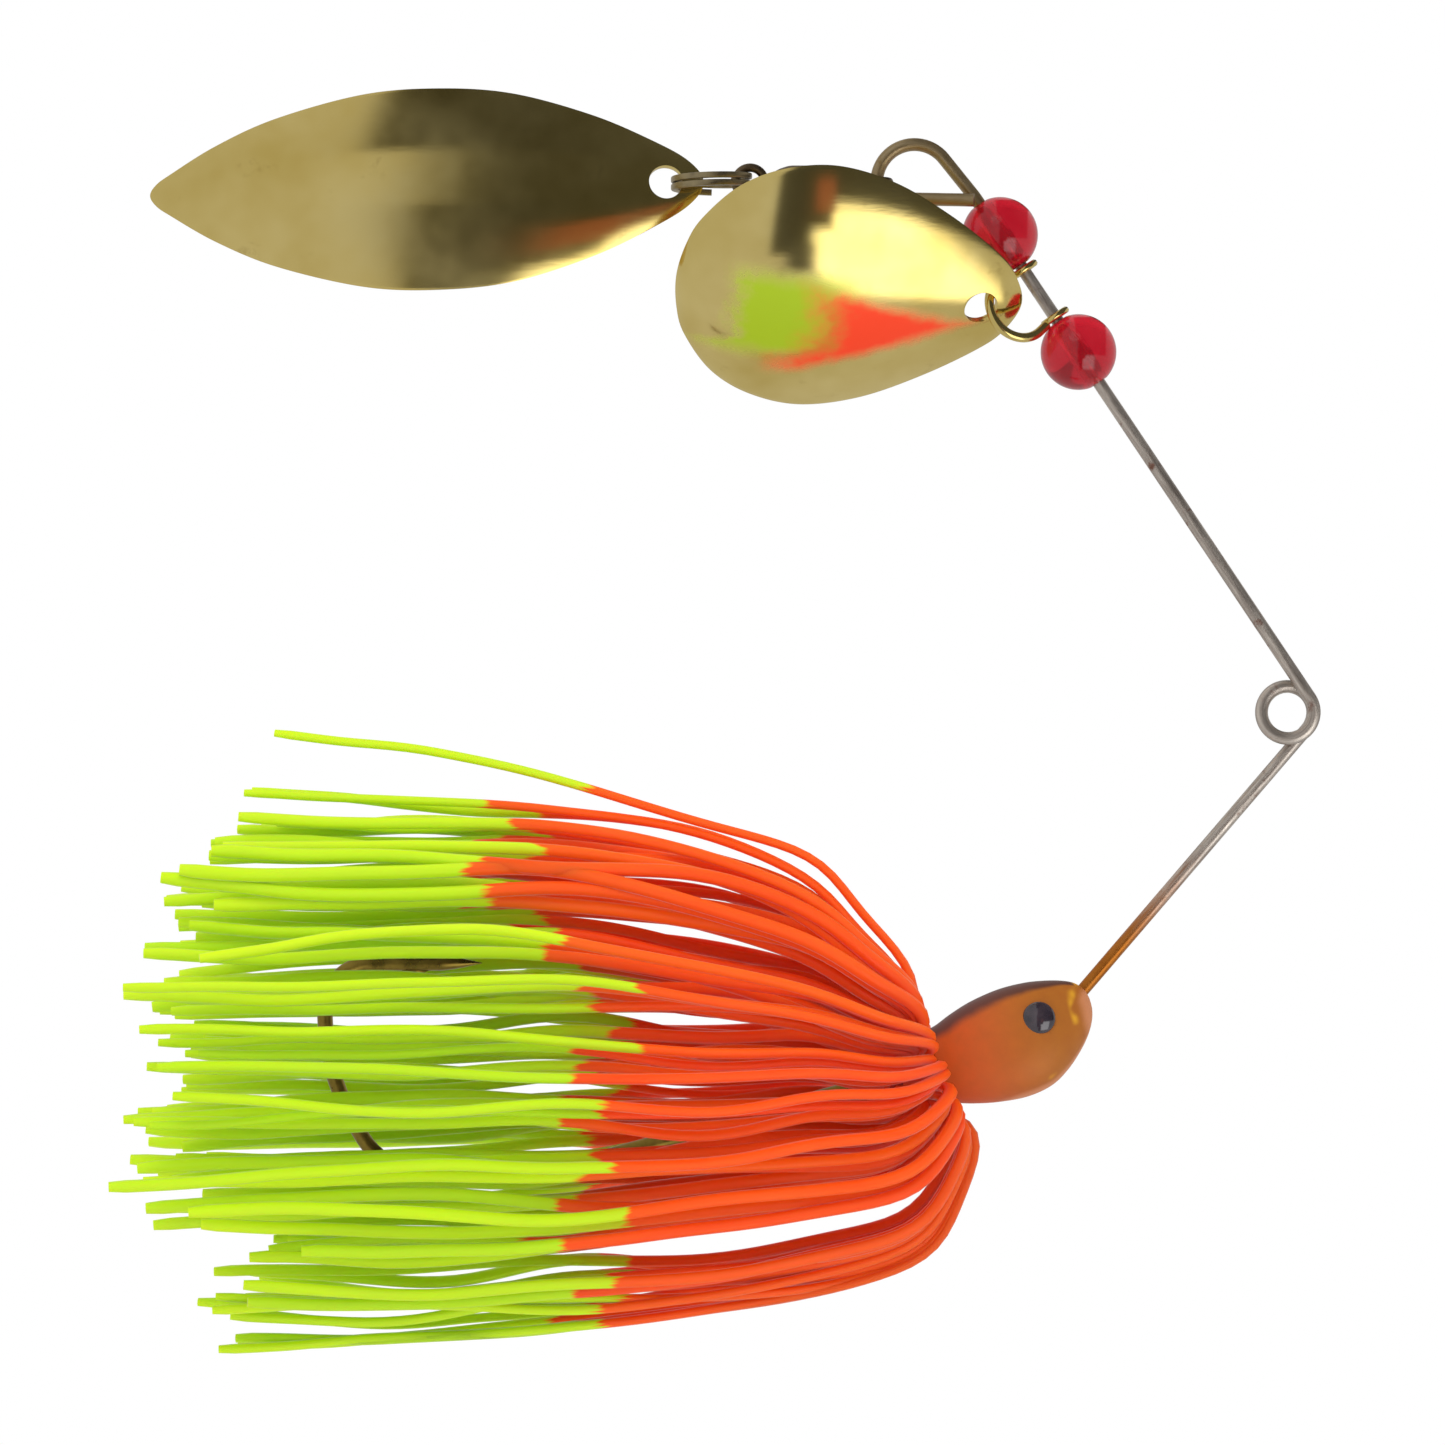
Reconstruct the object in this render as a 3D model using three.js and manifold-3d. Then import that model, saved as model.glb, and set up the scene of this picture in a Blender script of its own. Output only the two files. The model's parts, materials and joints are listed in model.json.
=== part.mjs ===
// Tandem-blade spinnerbait: a bent wire frame with a cast head, hook and silicone skirt on the lower arm,
// and two gold blades on the upper arm. Millimetres, +Z up. The wire is bent in the XZ plane, the head faces
// +X, and the origin is the centre of the line-tie coil.
import * as THREE from 'three';
import { mergeVertices } from 'three/addons/utils/BufferGeometryUtils.js';
import Module from 'manifold-3d';

const wasm = await Module();
wasm.setup();

// ---- driving dimensions -------------------------------------------------------------------------------

const RUNNING_GAP = 0.1;

// Wire frame.
const WIRE_R = 0.45;
const COIL_R = 1.8;
const COIL_PITCH = 1.0;
const LOWER_ARM_ANGLE = 49.4;
const UPPER_ARM_ANGLE = 123.8;
const LOWER_ARM_LENGTH = 23.4;
const WIRE_IN_HEAD = 5.5;
const UPPER_ARM_LENGTH = 41.5;
const LOOP_R = 2.6;
const LOOP_CORNER_R = 0.8;
const LOOP_LEG = 5.9;

// Beads and clevis on the upper arm, measured along it from the coil.
const LOWER_BEAD_AT = 28.76;
const UPPER_BEAD_AT = 38.5;
const BEAD_R = 2.62;
const BEAD_BORE_R = 0.56;
const CLEVIS_WIRE_R = 0.33;
const CLEVIS_BEND_R = 2.25;
const CLEVIS_FLARE = 9;
const CLEVIS_TURN = 30;
const EAR_AT = 1.95;
const EAR_R = 1.1;
const EAR_THICKNESS = 0.45;

// Blades.
const BLADE_THICKNESS = 0.5;
const BLADE_HOLE_R = 1.17;
const FRONT_BLADE = { length: 24.1, width: 19.0, cup: 3.0, holeAt: 3.0 };
const REAR_BLADE = { length: 38.3, width: 14.3, cup: 1.7, holeAt: 2.6 };
const FRONT_BLADE_HEADING = 176;
const FRONT_BLADE_LEAN = 8;
const FRONT_BLADE_TILT = -34;
const CLEVIS_CONTACT = 28;
const REAR_BLADE_HEADING = 181.4;
const REAR_BLADE_TILT = 9;

// Swivel and split ring.
const EYE_WIRE_R = 0.3;
const EYE_R = 1.0;
const BARREL_R = 1.15;
const BARREL_LENGTH = 5.3;
const BARREL_BORE_R = 0.42;
const BARREL_WALL = 0.3;
const EYE_TO_BARREL = 0.35;
const STEM_LENGTH = 1.2;
const STEM_HEAD_R = 0.62;
const RING_R = 2.56;
const RING_GAP = 0.06;
const RING_STRIP = { radial: 0.5, height: 0.42, pitch: 0.52, turns: 1.9 };

// Head and hook.
const HEAD_TILT = 15.5;
const HEAD_REAR = new THREE.Vector3(-24.4, 0, -24.45);
const HEAD_SIDES = 20;
const NECK_R = 1.5;
const NECK_LENGTH = 6.2;
const EYE_BALL_R = 1.15;
const EYE_BALL_BULGE = 0.55;
const HOOK_R = 0.54;
const HOOK_SHANK_DEPTH = 4.0;
const HOOK_POINT_TAPER = 3.2;

// Skirt.
const COLLAR_R = 2.75;
const COLLAR_LENGTH = 4.6;
const COLLAR_GAP = 0.5;
const STRAND_R = 0.43;
const SKIRT_AXIS_Z = -24.8;
const SKIRT_FLATTEN = 0.8;

// ---- helpers ------------------------------------------------------------------------------------------

const radians = THREE.MathUtils.degToRad;

function headingVector(degrees) {
  return new THREE.Vector3(Math.cos(radians(degrees)), 0, Math.sin(radians(degrees)));
}

// A wire bent on a plane, as a wire bender makes it: straight runs and arcs, one after another. The plane is
// XZ, a heading of 0 is +X and 90 is +Z, and drift carries a piece along Y.
class BentWire extends THREE.Curve {
  constructor(start, heading) {
    super();
    this.end = start.clone();
    this.heading = heading;
    this.pieces = [];
  }

  addPiece(steps, pointAt) {
    for (let step = 0; step < steps; step++) {
      this.pieces.push({ pointAt, from: step / steps, to: (step + 1) / steps });
    }
    this.end = pointAt(1);
    return this;
  }

  run(length, drift = 0, steps = 1) {
    const start = this.end.clone();
    const travel = headingVector(this.heading).multiplyScalar(length);
    travel.y = drift;
    return this.addPiece(steps, (t) => start.clone().addScaledVector(travel, t));
  }

  bend(radius, angle, steps, drift = 0) {
    const side = Math.sign(angle);
    const startHeading = this.heading;
    const centre = this.end.clone().addScaledVector(headingVector(startHeading + 90 * side), radius);
    this.heading = (startHeading + angle + 360) % 360;
    return this.addPiece(steps, (t) => {
      const spoke = headingVector(startHeading + angle * t - 90 * side);
      const point = centre.clone().addScaledVector(spoke, radius);
      point.y += drift * t;
      return point;
    });
  }

  get steps() {
    return this.pieces.length;
  }

  getPointAt(u, target = new THREE.Vector3()) {
    const place = Math.min(Math.max(u, 0), 1) * this.steps;
    const index = Math.min(Math.floor(place), this.steps - 1);
    const piece = this.pieces[index];
    return target.copy(piece.pointAt(THREE.MathUtils.lerp(piece.from, piece.to, place - index)));
  }

  getTangentAt(u, target = new THREE.Vector3()) {
    const nudge = 0.02 / this.steps;
    const before = this.getPointAt(Math.max(u - nudge, 0));
    const after = this.getPointAt(Math.min(u + nudge, 1));
    return target.subVectors(after, before).normalize();
  }
}

function circleShape(radius, sides) {
  const points = [];
  for (let side = 0; side < sides; side++) {
    const angle = (2 * Math.PI * side) / sides;
    points.push(new THREE.Vector2(radius * Math.cos(angle), radius * Math.sin(angle)));
  }
  return new THREE.Shape(points);
}

function sweep(path, shape, steps) {
  return new THREE.ExtrudeGeometry(shape, { steps, bevelEnabled: false, extrudePath: path });
}

function tube(path, radius, sides, steps = path.steps) {
  return sweep(path, circleShape(radius, sides), steps);
}

function solid(geometry) {
  const bare = geometry.clone();
  bare.deleteAttribute('normal');
  bare.deleteAttribute('uv');
  const merged = mergeVertices(bare, 1e-5);
  return new wasm.Manifold(new wasm.Mesh({
    numProp: 3,
    vertProperties: new Float32Array(merged.attributes.position.array),
    triVerts: new Uint32Array(merged.index.array),
  }));
}

function geometryOf(manifold) {
  const mesh = manifold.getMesh();
  const geometry = new THREE.BufferGeometry();
  geometry.setAttribute('position', new THREE.BufferAttribute(new Float32Array(mesh.vertProperties), 3));
  geometry.setIndex(new THREE.BufferAttribute(new Uint32Array(mesh.triVerts), 1));
  return geometry;
}

// A turned profile, radius and height pairs, closed on itself or ending on the axis.
function turned(points, segments) {
  return new THREE.LatheGeometry(points.map(([radius, height]) => new THREE.Vector2(radius, height)), segments);
}

function rod(radius, from, to, sides) {
  const geometry = new THREE.CylinderGeometry(radius, radius, from.distanceTo(to), sides);
  const along = to.clone().sub(from).normalize();
  geometry.applyQuaternion(new THREE.Quaternion().setFromUnitVectors(new THREE.Vector3(0, 1, 0), along));
  const middle = from.clone().add(to).multiplyScalar(0.5);
  return geometry.translate(middle.x, middle.y, middle.z);
}

const product = new THREE.Group();
const finishes = {
  steel: { color: 0x7d766f, roughness: 0.35, metalness: 0.9 },
  gold: { color: 0xc9a94e, roughness: 0.22, metalness: 1.0 },
  darkMetal: { color: 0x4a4238, roughness: 0.4, metalness: 0.9 },
  bronze: { color: 0x8a6a2c, roughness: 0.35, metalness: 0.9 },
  bead: { color: 0xc81f30, roughness: 0.12, metalness: 0.0 },
  headPaint: { color: 0xb86414, roughness: 0.3, metalness: 0.2 },
  eye: { color: 0x15131a, roughness: 0.1, metalness: 0.0 },
  orange: { color: 0xff5f0e, roughness: 0.5, metalness: 0.0 },
  chartreuse: { color: 0xb4e30a, roughness: 0.5, metalness: 0.0 },
};

function add(name, geometry, finish, place = {}) {
  const mesh = new THREE.Mesh(geometry, new THREE.MeshStandardMaterial(finishes[finish]));
  mesh.name = name;
  if (place.position) mesh.position.copy(place.position);
  if (place.basis) mesh.quaternion.setFromRotationMatrix(place.basis);
  product.add(mesh);
  return mesh;
}

// ---- wire frame ---------------------------------------------------------------------------------------

// The coil turns from the lower arm, which is tangent to it, once round and on to the upper arm. Its pitch
// sets the two arms side by side in Y.
const coilTurn = 360 + UPPER_ARM_ANGLE - LOWER_ARM_ANGLE;
const coilDrift = (-COIL_PITCH * coilTurn) / 360;
const lowerTangent = headingVector(LOWER_ARM_ANGLE - 90).multiplyScalar(COIL_R);
const lowerArmY = -coilDrift / 2;
const upperArmY = coilDrift / 2;
const noseEntry = lowerTangent.clone().addScaledVector(headingVector(LOWER_ARM_ANGLE), -LOWER_ARM_LENGTH);
noseEntry.y = lowerArmY;

function framePath() {
  const start = noseEntry.clone().addScaledVector(headingVector(LOWER_ARM_ANGLE), -WIRE_IN_HEAD);
  const path = new BentWire(start, LOWER_ARM_ANGLE);
  path.run(WIRE_IN_HEAD + LOWER_ARM_LENGTH, 0, 2);
  path.bend(COIL_R, coilTurn, 28, coilDrift);
  path.run(UPPER_ARM_LENGTH, 0, 2);
  // The end loop: out to the shoulder, round the top, a tight corner, and a leg back to the arm that passes
  // in front of it.
  path.bend(3.0, 5, 1);
  path.run(3.3);
  path.bend(LOOP_R, 270 - path.heading, 12);
  path.run(0.35);
  path.bend(LOOP_CORNER_R, 88, 6, -0.2);
  path.run(LOOP_LEG, -1.1);
  return path;
}

const frameWire = framePath();
add('wire_frame', tube(frameWire, WIRE_R, 10), 'steel');

const armDirection = headingVector(UPPER_ARM_ANGLE);
const armStart = headingVector(UPPER_ARM_ANGLE - 90).multiplyScalar(COIL_R);
armStart.y = upperArmY;

function onArm(distance) {
  return armStart.clone().addScaledVector(armDirection, distance);
}

// The end loop's round centre, which the swivel's front eye swings about.
function endLoopCentre() {
  const path = new BentWire(onArm(UPPER_ARM_LENGTH), UPPER_ARM_ANGLE);
  path.bend(3.0, 5, 1);
  path.run(3.3);
  return path.end.clone().addScaledVector(headingVector(path.heading + 90), LOOP_R);
}

// ---- beads --------------------------------------------------------------------------------------------

// A ball turned about Y with a through bore, and flats where the bore leaves it.
function beadGeometry() {
  const flat = Math.sqrt(BEAD_R ** 2 - (BEAD_BORE_R + 0.15) ** 2);
  const start = Math.acos(flat / BEAD_R);
  const points = [[BEAD_BORE_R, flat]];
  const steps = 11;
  for (let step = 0; step <= steps; step++) {
    const angle = start + ((Math.PI - 2 * start) * step) / steps;
    points.push([BEAD_R * Math.sin(angle), BEAD_R * Math.cos(angle)]);
  }
  points.push([BEAD_BORE_R, -flat], [BEAD_BORE_R, flat]);
  return turned(points.reverse(), 20);
}

const alongArm = new THREE.Matrix4().makeBasis(
  headingVector(UPPER_ARM_ANGLE - 90),
  armDirection,
  headingVector(UPPER_ARM_ANGLE - 90).cross(armDirection),
);
add('lower_bead', beadGeometry(), 'bead', { position: onArm(LOWER_BEAD_AT), basis: alongArm });
add('upper_bead', beadGeometry(), 'bead', { position: onArm(UPPER_BEAD_AT), basis: alongArm });

// ---- clevis -------------------------------------------------------------------------------------------

// A stirrup of round wire with a pierced ear on each end. Local X runs out from the arm, and Z along it.
const clevisLeg = (CLEVIS_BEND_R * Math.cos(radians(CLEVIS_FLARE)) - EAR_AT) / Math.sin(radians(CLEVIS_FLARE));
const clevisBendAt = clevisLeg * Math.cos(radians(CLEVIS_FLARE))
  + CLEVIS_BEND_R * Math.sin(radians(CLEVIS_FLARE));
const clevisCentre = onArm((LOWER_BEAD_AT + UPPER_BEAD_AT) / 2);
const clevisOut = headingVector(UPPER_ARM_ANGLE + 90).multiplyScalar(Math.cos(radians(CLEVIS_TURN)));
clevisOut.y = -Math.sin(radians(CLEVIS_TURN));

function clevisGeometry() {
  const legStart = 0.75;
  const path = new BentWire(new THREE.Vector3(0, 0, -EAR_AT), -CLEVIS_FLARE);
  path.end.addScaledVector(headingVector(-CLEVIS_FLARE), legStart);
  path.run(clevisLeg - legStart);
  path.bend(CLEVIS_BEND_R, 180 + 2 * CLEVIS_FLARE, 16);
  path.run(clevisLeg - legStart);
  let clevis = solid(tube(path, CLEVIS_WIRE_R, 10));
  for (const side of [-1, 1]) {
    const middle = new THREE.Vector3(0, 0, side * EAR_AT);
    const half = new THREE.Vector3(0, 0, EAR_THICKNESS / 2);
    const ear = rod(EAR_R, middle.clone().sub(half), middle.clone().add(half), 20);
    clevis = clevis.add(solid(ear));
  }
  const reach = new THREE.Vector3(0, 0, 2 * EAR_AT);
  return geometryOf(clevis.subtract(solid(rod(BEAD_BORE_R, reach.clone().negate(), reach, 16))));
}

const clevisBasis = new THREE.Matrix4().makeBasis(
  clevisOut,
  armDirection.clone().cross(clevisOut),
  armDirection,
);
add('clevis', clevisGeometry(), 'gold', { position: clevisCentre, basis: clevisBasis });

// ---- blades -------------------------------------------------------------------------------------------

const TEARDROP = [
  [0, 0], [0.035, 0.235], [0.1, 0.41], [0.25, 0.675], [0.42, 0.9], [0.59, 1.0], [0.74, 0.94], [0.86, 0.77],
  [0.95, 0.49], [0.985, 0.27], [1, 0],
];
const WILLOW_LEAF = [
  [0, 0], [0.027, 0.22], [0.095, 0.44], [0.2, 0.7], [0.34, 0.93], [0.47, 1.0], [0.61, 0.96], [0.77, 0.74],
  [0.88, 0.48], [0.965, 0.2], [0.99, 0.1], [1, 0],
];

// A stamped, cupped plate. Its rim lies in the local XY plane from the hole end at the origin along +X, and
// it bulges along +Z.
function bladeGeometry(blade, outline) {
  const spline = new THREE.SplineCurve(outline.map(([at, wide]) => new THREE.Vector2(at, wide)));
  const rows = 18;
  const columns = 8;
  const positions = [];
  const halfWidth = blade.width / 2;
  const height = (wide, across) => blade.cup * wide ** 1.2 * (1 - across ** 2);
  const edge = spline.getSpacedPoints(rows);
  for (const layer of [0, 1]) {
    for (let row = 0; row <= rows; row++) {
      const wide = Math.max(edge[row].y, 0);
      const inner = row > 0 && row < rows;
      for (let column = 0; column <= columns; column++) {
        const across = inner ? (2 * column) / columns - 1 : 0;
        positions.push(edge[row].x * blade.length, across * wide * halfWidth);
        positions.push(height(wide, across) + (layer - 1) * BLADE_THICKNESS);
      }
    }
  }
  const index = [];
  const at = (layer, row, column) => (layer * (rows + 1) + row) * (columns + 1) + column;
  const quad = (a, b, c, d) => index.push(a, b, c, a, c, d);
  for (let row = 0; row < rows; row++) {
    for (let column = 0; column < columns; column++) {
      quad(at(1, row, column), at(1, row + 1, column), at(1, row + 1, column + 1), at(1, row, column + 1));
      quad(at(0, row, column), at(0, row, column + 1), at(0, row + 1, column + 1), at(0, row + 1, column));
    }
    quad(at(0, row, 0), at(0, row + 1, 0), at(1, row + 1, 0), at(1, row, 0));
    quad(at(1, row, columns), at(1, row + 1, columns), at(0, row + 1, columns), at(0, row, columns));
  }
  const plate = new THREE.BufferGeometry();
  plate.setAttribute('position', new THREE.Float32BufferAttribute(positions, 3));
  plate.setIndex(index);
  const drill = rod(
    BLADE_HOLE_R,
    new THREE.Vector3(blade.holeAt, 0, -2),
    new THREE.Vector3(blade.holeAt, 0, blade.cup + 2),
    16,
  );
  return geometryOf(solid(withoutSlivers(plate)).subtract(solid(drill)));
}

// Drops the triangles that meet at a plate's two tips, where a whole row is one point.
function withoutSlivers(geometry) {
  const merged = mergeVertices(geometry, 1e-5);
  const kept = [];
  const corners = merged.index.array;
  for (let first = 0; first < corners.length; first += 3) {
    const [a, b, c] = corners.slice(first, first + 3);
    if (a !== b && b !== c && c !== a) kept.push(a, b, c);
  }
  merged.setIndex(kept);
  return merged;
}

// Height of the plate's middle over its rim plane at the hole.
function heightAtHole(blade, outline) {
  const spline = new THREE.SplineCurve(outline.map(([at, wide]) => new THREE.Vector2(at, wide)));
  const wanted = blade.holeAt / blade.length;
  let point = spline.getPoint(0);
  for (let step = 0; point.x < wanted; step++) point = spline.getPoint(step / 400);
  return blade.cup * point.y ** 1.2 - BLADE_THICKNESS / 2;
}

// A blade's frame: X along it at a heading and a lean towards -Y, then turned about X by the tilt.
function bladeBasis(heading, lean, tilt) {
  const along = headingVector(heading).multiplyScalar(Math.cos(radians(lean)));
  along.y = -Math.sin(radians(lean));
  const level = new THREE.Vector3(0, -1, 0).cross(along).normalize();
  const across = level.clone().applyAxisAngle(along, radians(tilt));
  return new THREE.Matrix4().makeBasis(along, across, along.clone().cross(across));
}

function placeBlade(name, blade, outline, basis, hole) {
  const local = new THREE.Vector3(blade.holeAt, 0, heightAtHole(blade, outline)).applyMatrix4(basis);
  add(name, bladeGeometry(blade, outline), 'gold', { position: hole.clone().sub(local), basis });
}

const contactAngle = radians(CLEVIS_CONTACT);
const clevisContact = clevisCentre.clone()
  .addScaledVector(armDirection, CLEVIS_BEND_R * Math.sin(contactAngle))
  .addScaledVector(clevisOut, clevisBendAt + CLEVIS_BEND_R * Math.cos(contactAngle));
const frontBasis = bladeBasis(FRONT_BLADE_HEADING, FRONT_BLADE_LEAN, FRONT_BLADE_TILT);
const frontAlong = new THREE.Vector3().setFromMatrixColumn(frontBasis, 0);
const frontHole = clevisContact.clone().addScaledVector(frontAlong, BLADE_HOLE_R - CLEVIS_WIRE_R - 0.2);
placeBlade('front_blade', FRONT_BLADE, TEARDROP, frontBasis, frontHole);

// ---- swivel and split ring ----------------------------------------------------------------------------

const loopCentre = endLoopCentre();
const swivelZ = loopCentre.z;
const loopWireX = loopCentre.x - LOOP_R;
const frontEyeX = loopWireX + WIRE_R + RUNNING_GAP - (EYE_R - EYE_WIRE_R);
const barrelFront = frontEyeX - EYE_R - EYE_WIRE_R - EYE_TO_BARREL;
const barrelRear = barrelFront - BARREL_LENGTH;
const rearEyeX = barrelRear - EYE_TO_BARREL - EYE_WIRE_R - EYE_R;

// A ring of wire with a headed stem that turns inside the barrel. The stem points along `side` in X.
function eyeGeometry(side, lying) {
  const ring = new THREE.TorusGeometry(EYE_R, EYE_WIRE_R, 8, 20);
  if (!lying) ring.rotateX(Math.PI / 2);
  const from = new THREE.Vector3(side * EYE_R, 0, 0);
  const neckEnd = EYE_R + EYE_WIRE_R + EYE_TO_BARREL + STEM_LENGTH;
  const neck = rod(EYE_WIRE_R, from, new THREE.Vector3(side * neckEnd, 0, 0), 10);
  const headEnd = new THREE.Vector3(side * (neckEnd + 0.5), 0, 0);
  const head = rod(STEM_HEAD_R, new THREE.Vector3(side * (neckEnd - 0.05), 0, 0), headEnd, 12);
  return geometryOf(solid(ring).add(solid(neck)).add(solid(head)));
}

function barrelGeometry() {
  const half = BARREL_LENGTH / 2;
  const cavity = half - 0.55;
  const points = [
    [BARREL_BORE_R, half], [0.7, half], [BARREL_R - 0.2, half - 0.35], [BARREL_R - 0.1, half - 0.9],
    [BARREL_R, half - 1.2], [BARREL_R, 1.2 - half], [BARREL_R - 0.1, 0.9 - half],
    [BARREL_R - 0.2, 0.35 - half], [0.7, -half], [BARREL_BORE_R, -half], [BARREL_BORE_R, -cavity],
    [BARREL_R - BARREL_WALL, -cavity + 0.3], [BARREL_R - BARREL_WALL, cavity - 0.3],
    [BARREL_BORE_R, cavity], [BARREL_BORE_R, half],
  ];
  return turned(points.reverse(), 20).rotateZ(Math.PI / 2);
}

const frontEyeAt = new THREE.Vector3(frontEyeX, upperArmY, swivelZ);
const rearEyeAt = new THREE.Vector3(rearEyeX, upperArmY, swivelZ);
const barrelAt = new THREE.Vector3((barrelFront + barrelRear) / 2, upperArmY, swivelZ);
add('swivel_front_eye', eyeGeometry(-1, true), 'darkMetal', { position: frontEyeAt });
add('swivel_barrel', barrelGeometry(), 'darkMetal', { position: barrelAt });
add('swivel_rear_eye', eyeGeometry(1, false), 'darkMetal', { position: rearEyeAt });

// The split ring lies flat: a flat strip wound nearly twice round, its turns a hair apart. It hangs in the
// rear eye and in the rear blade's hole with room for the strip's corners to turn.
const stripCorner = Math.hypot(RING_STRIP.radial, RING_STRIP.height + RING_STRIP.pitch) / 2;
const ringRightX = rearEyeX - (EYE_R - EYE_WIRE_R - stripCorner - RING_GAP);
const ringCentre = new THREE.Vector3(ringRightX - RING_R, upperArmY, swivelZ);

class Helix extends THREE.Curve {
  constructor(radius, pitch, turns, startAngle) {
    super();
    Object.assign(this, { radius, pitch, turns, startAngle });
  }

  getPoint(t, target = new THREE.Vector3()) {
    const angle = this.startAngle + 2 * Math.PI * this.turns * t;
    const rise = this.pitch * this.turns * (t - 0.5);
    return target.set(this.radius * Math.cos(angle), this.radius * Math.sin(angle), rise);
  }
}

function ringGeometry() {
  const { radial, height, pitch, turns } = RING_STRIP;
  const strip = new THREE.Shape();
  strip.moveTo(-radial / 2, -height / 2);
  strip.lineTo(radial / 2, -height / 2);
  strip.lineTo(radial / 2, height / 2);
  strip.lineTo(-radial / 2, height / 2);
  strip.closePath();
  return sweep(new Helix(RING_R, pitch, turns, Math.PI / 2), strip, 44);
}

add('split_ring', ringGeometry(), 'gold', { position: ringCentre });

const rearBasis = bladeBasis(REAR_BLADE_HEADING, 0, REAR_BLADE_TILT);
const rearAlong = new THREE.Vector3().setFromMatrixColumn(rearBasis, 0);
const rearHole = ringCentre.clone();
rearHole.x -= RING_R;
rearHole.addScaledVector(rearAlong, BLADE_HOLE_R - stripCorner - RING_GAP);
placeBlade('rear_blade', REAR_BLADE, WILLOW_LEAF, rearBasis, rearHole);

// ---- head ---------------------------------------------------------------------------------------------

// Sections of the cast head from its rear face to its nose, in the head's own frame: distance forward,
// middle height, half height and half width.
const HEAD_SECTIONS = [
  [0.0, 0.0, 2.5, 2.2], [0.8, -0.1, 2.78, 2.4], [2.0, -0.05, 3.2, 2.7], [3.6, 0.02, 3.6, 3.0],
  [5.6, 0.08, 3.83, 3.15], [7.4, 0.21, 3.67, 3.0], [8.8, 0.48, 3.18, 2.6], [10.0, 0.83, 2.5, 1.95],
  [10.8, 1.1, 1.85, 1.35], [11.3, 1.25, 1.15, 0.8], [11.55, 1.3, 0.5, 0.35],
];
const forward = headingVector(HEAD_TILT);
const headUp = headingVector(HEAD_TILT + 90);
const headBasis = new THREE.Matrix4().makeBasis(forward, new THREE.Vector3(0, 1, 0), headUp);
const toHead = new THREE.Matrix4().makeTranslation(HEAD_REAR.x, HEAD_REAR.y, HEAD_REAR.z).multiply(headBasis);
const fromHead = toHead.clone().invert();

// A skin over elliptical sections, closed flat at both ends.
function loft(sections, sides) {
  const positions = [];
  const index = [];
  for (const [x, z, halfHeight, halfWidth] of sections) {
    for (let side = 0; side < sides; side++) {
      const angle = (2 * Math.PI * side) / sides;
      positions.push(x, halfWidth * Math.cos(angle), z + halfHeight * Math.sin(angle));
    }
  }
  const last = sections.length - 1;
  for (let ring = 0; ring < last; ring++) {
    for (let side = 0; side < sides; side++) {
      const next = (side + 1) % sides;
      const [a, b] = [ring * sides + side, ring * sides + next];
      index.push(a, b, b + sides, a, b + sides, a + sides);
    }
  }
  for (let side = 1; side < sides - 1; side++) {
    index.push(0, side + 1, side);
    index.push(last * sides, last * sides + side, last * sides + side + 1);
  }
  const geometry = new THREE.BufferGeometry();
  geometry.setAttribute('position', new THREE.Float32BufferAttribute(positions, 3));
  geometry.setIndex(index);
  return geometry;
}

const EYE_AT = new THREE.Vector3(7.7, 0, 1.4);
const eyeDepth = 2.3;

function headGeometry() {
  const neck = turned([
    [0, -NECK_LENGTH], [NECK_R - 0.2, -NECK_LENGTH], [NECK_R + 0.35, -NECK_LENGTH + 0.5],
    [NECK_R, -NECK_LENGTH + 1.1], [NECK_R, 0.5], [0, 0.5],
  ], 16).rotateZ(-Math.PI / 2);
  let head = solid(loft(HEAD_SECTIONS, HEAD_SIDES)).add(solid(neck));
  for (const side of [-1, 1]) {
    const inner = new THREE.Vector3(EYE_AT.x, side * (eyeDepth - RUNNING_GAP), EYE_AT.z);
    const outer = new THREE.Vector3(EYE_AT.x, side * 5, EYE_AT.z);
    head = head.subtract(solid(rod(EYE_BALL_R + RUNNING_GAP, inner, outer, 20)));
  }
  const lead = new BentWire(noseEntry.clone().applyMatrix4(fromHead), LOWER_ARM_ANGLE - HEAD_TILT);
  lead.end.addScaledVector(headingVector(lead.heading), -WIRE_IN_HEAD - RUNNING_GAP);
  lead.run(WIRE_IN_HEAD + 6);
  head = head.subtract(solid(tube(lead, WIRE_R + RUNNING_GAP, 12)));
  const bore = new THREE.Vector3(-NECK_LENGTH - 1, 0, 0);
  const blind = new THREE.Vector3(HOOK_SHANK_DEPTH - NECK_LENGTH + RUNNING_GAP, 0, 0);
  head = head.subtract(solid(rod(HOOK_R + RUNNING_GAP, bore, blind, 14)));
  return geometryOf(head);
}

add('head', headGeometry(), 'headPaint', { position: HEAD_REAR, basis: headBasis });

// A domed eye that sits in the round socket on each side of the head.
function eyeBallGeometry() {
  const points = [[0, 0], [EYE_BALL_R, 0], [EYE_BALL_R, 0.45]];
  for (const angle of [25, 50, 70]) {
    const r = EYE_BALL_R * Math.cos(radians(angle));
    points.push([r, 0.45 + EYE_BALL_BULGE * Math.sin(radians(angle))]);
  }
  points.push([0, 0.45 + EYE_BALL_BULGE]);
  return turned(points, 20);
}

for (const [name, side] of [['eye_right', -1], ['eye_left', 1]]) {
  const outward = new THREE.Vector3(0, side, 0);
  const basis = new THREE.Matrix4().makeBasis(forward.clone().multiplyScalar(side), outward, headUp.clone());
  const seat = new THREE.Vector3(EYE_AT.x, side * eyeDepth, EYE_AT.z).applyMatrix4(toHead);
  add(name, eyeBallGeometry(), 'eye', { position: seat, basis });
}

// ---- hook ---------------------------------------------------------------------------------------------

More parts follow.
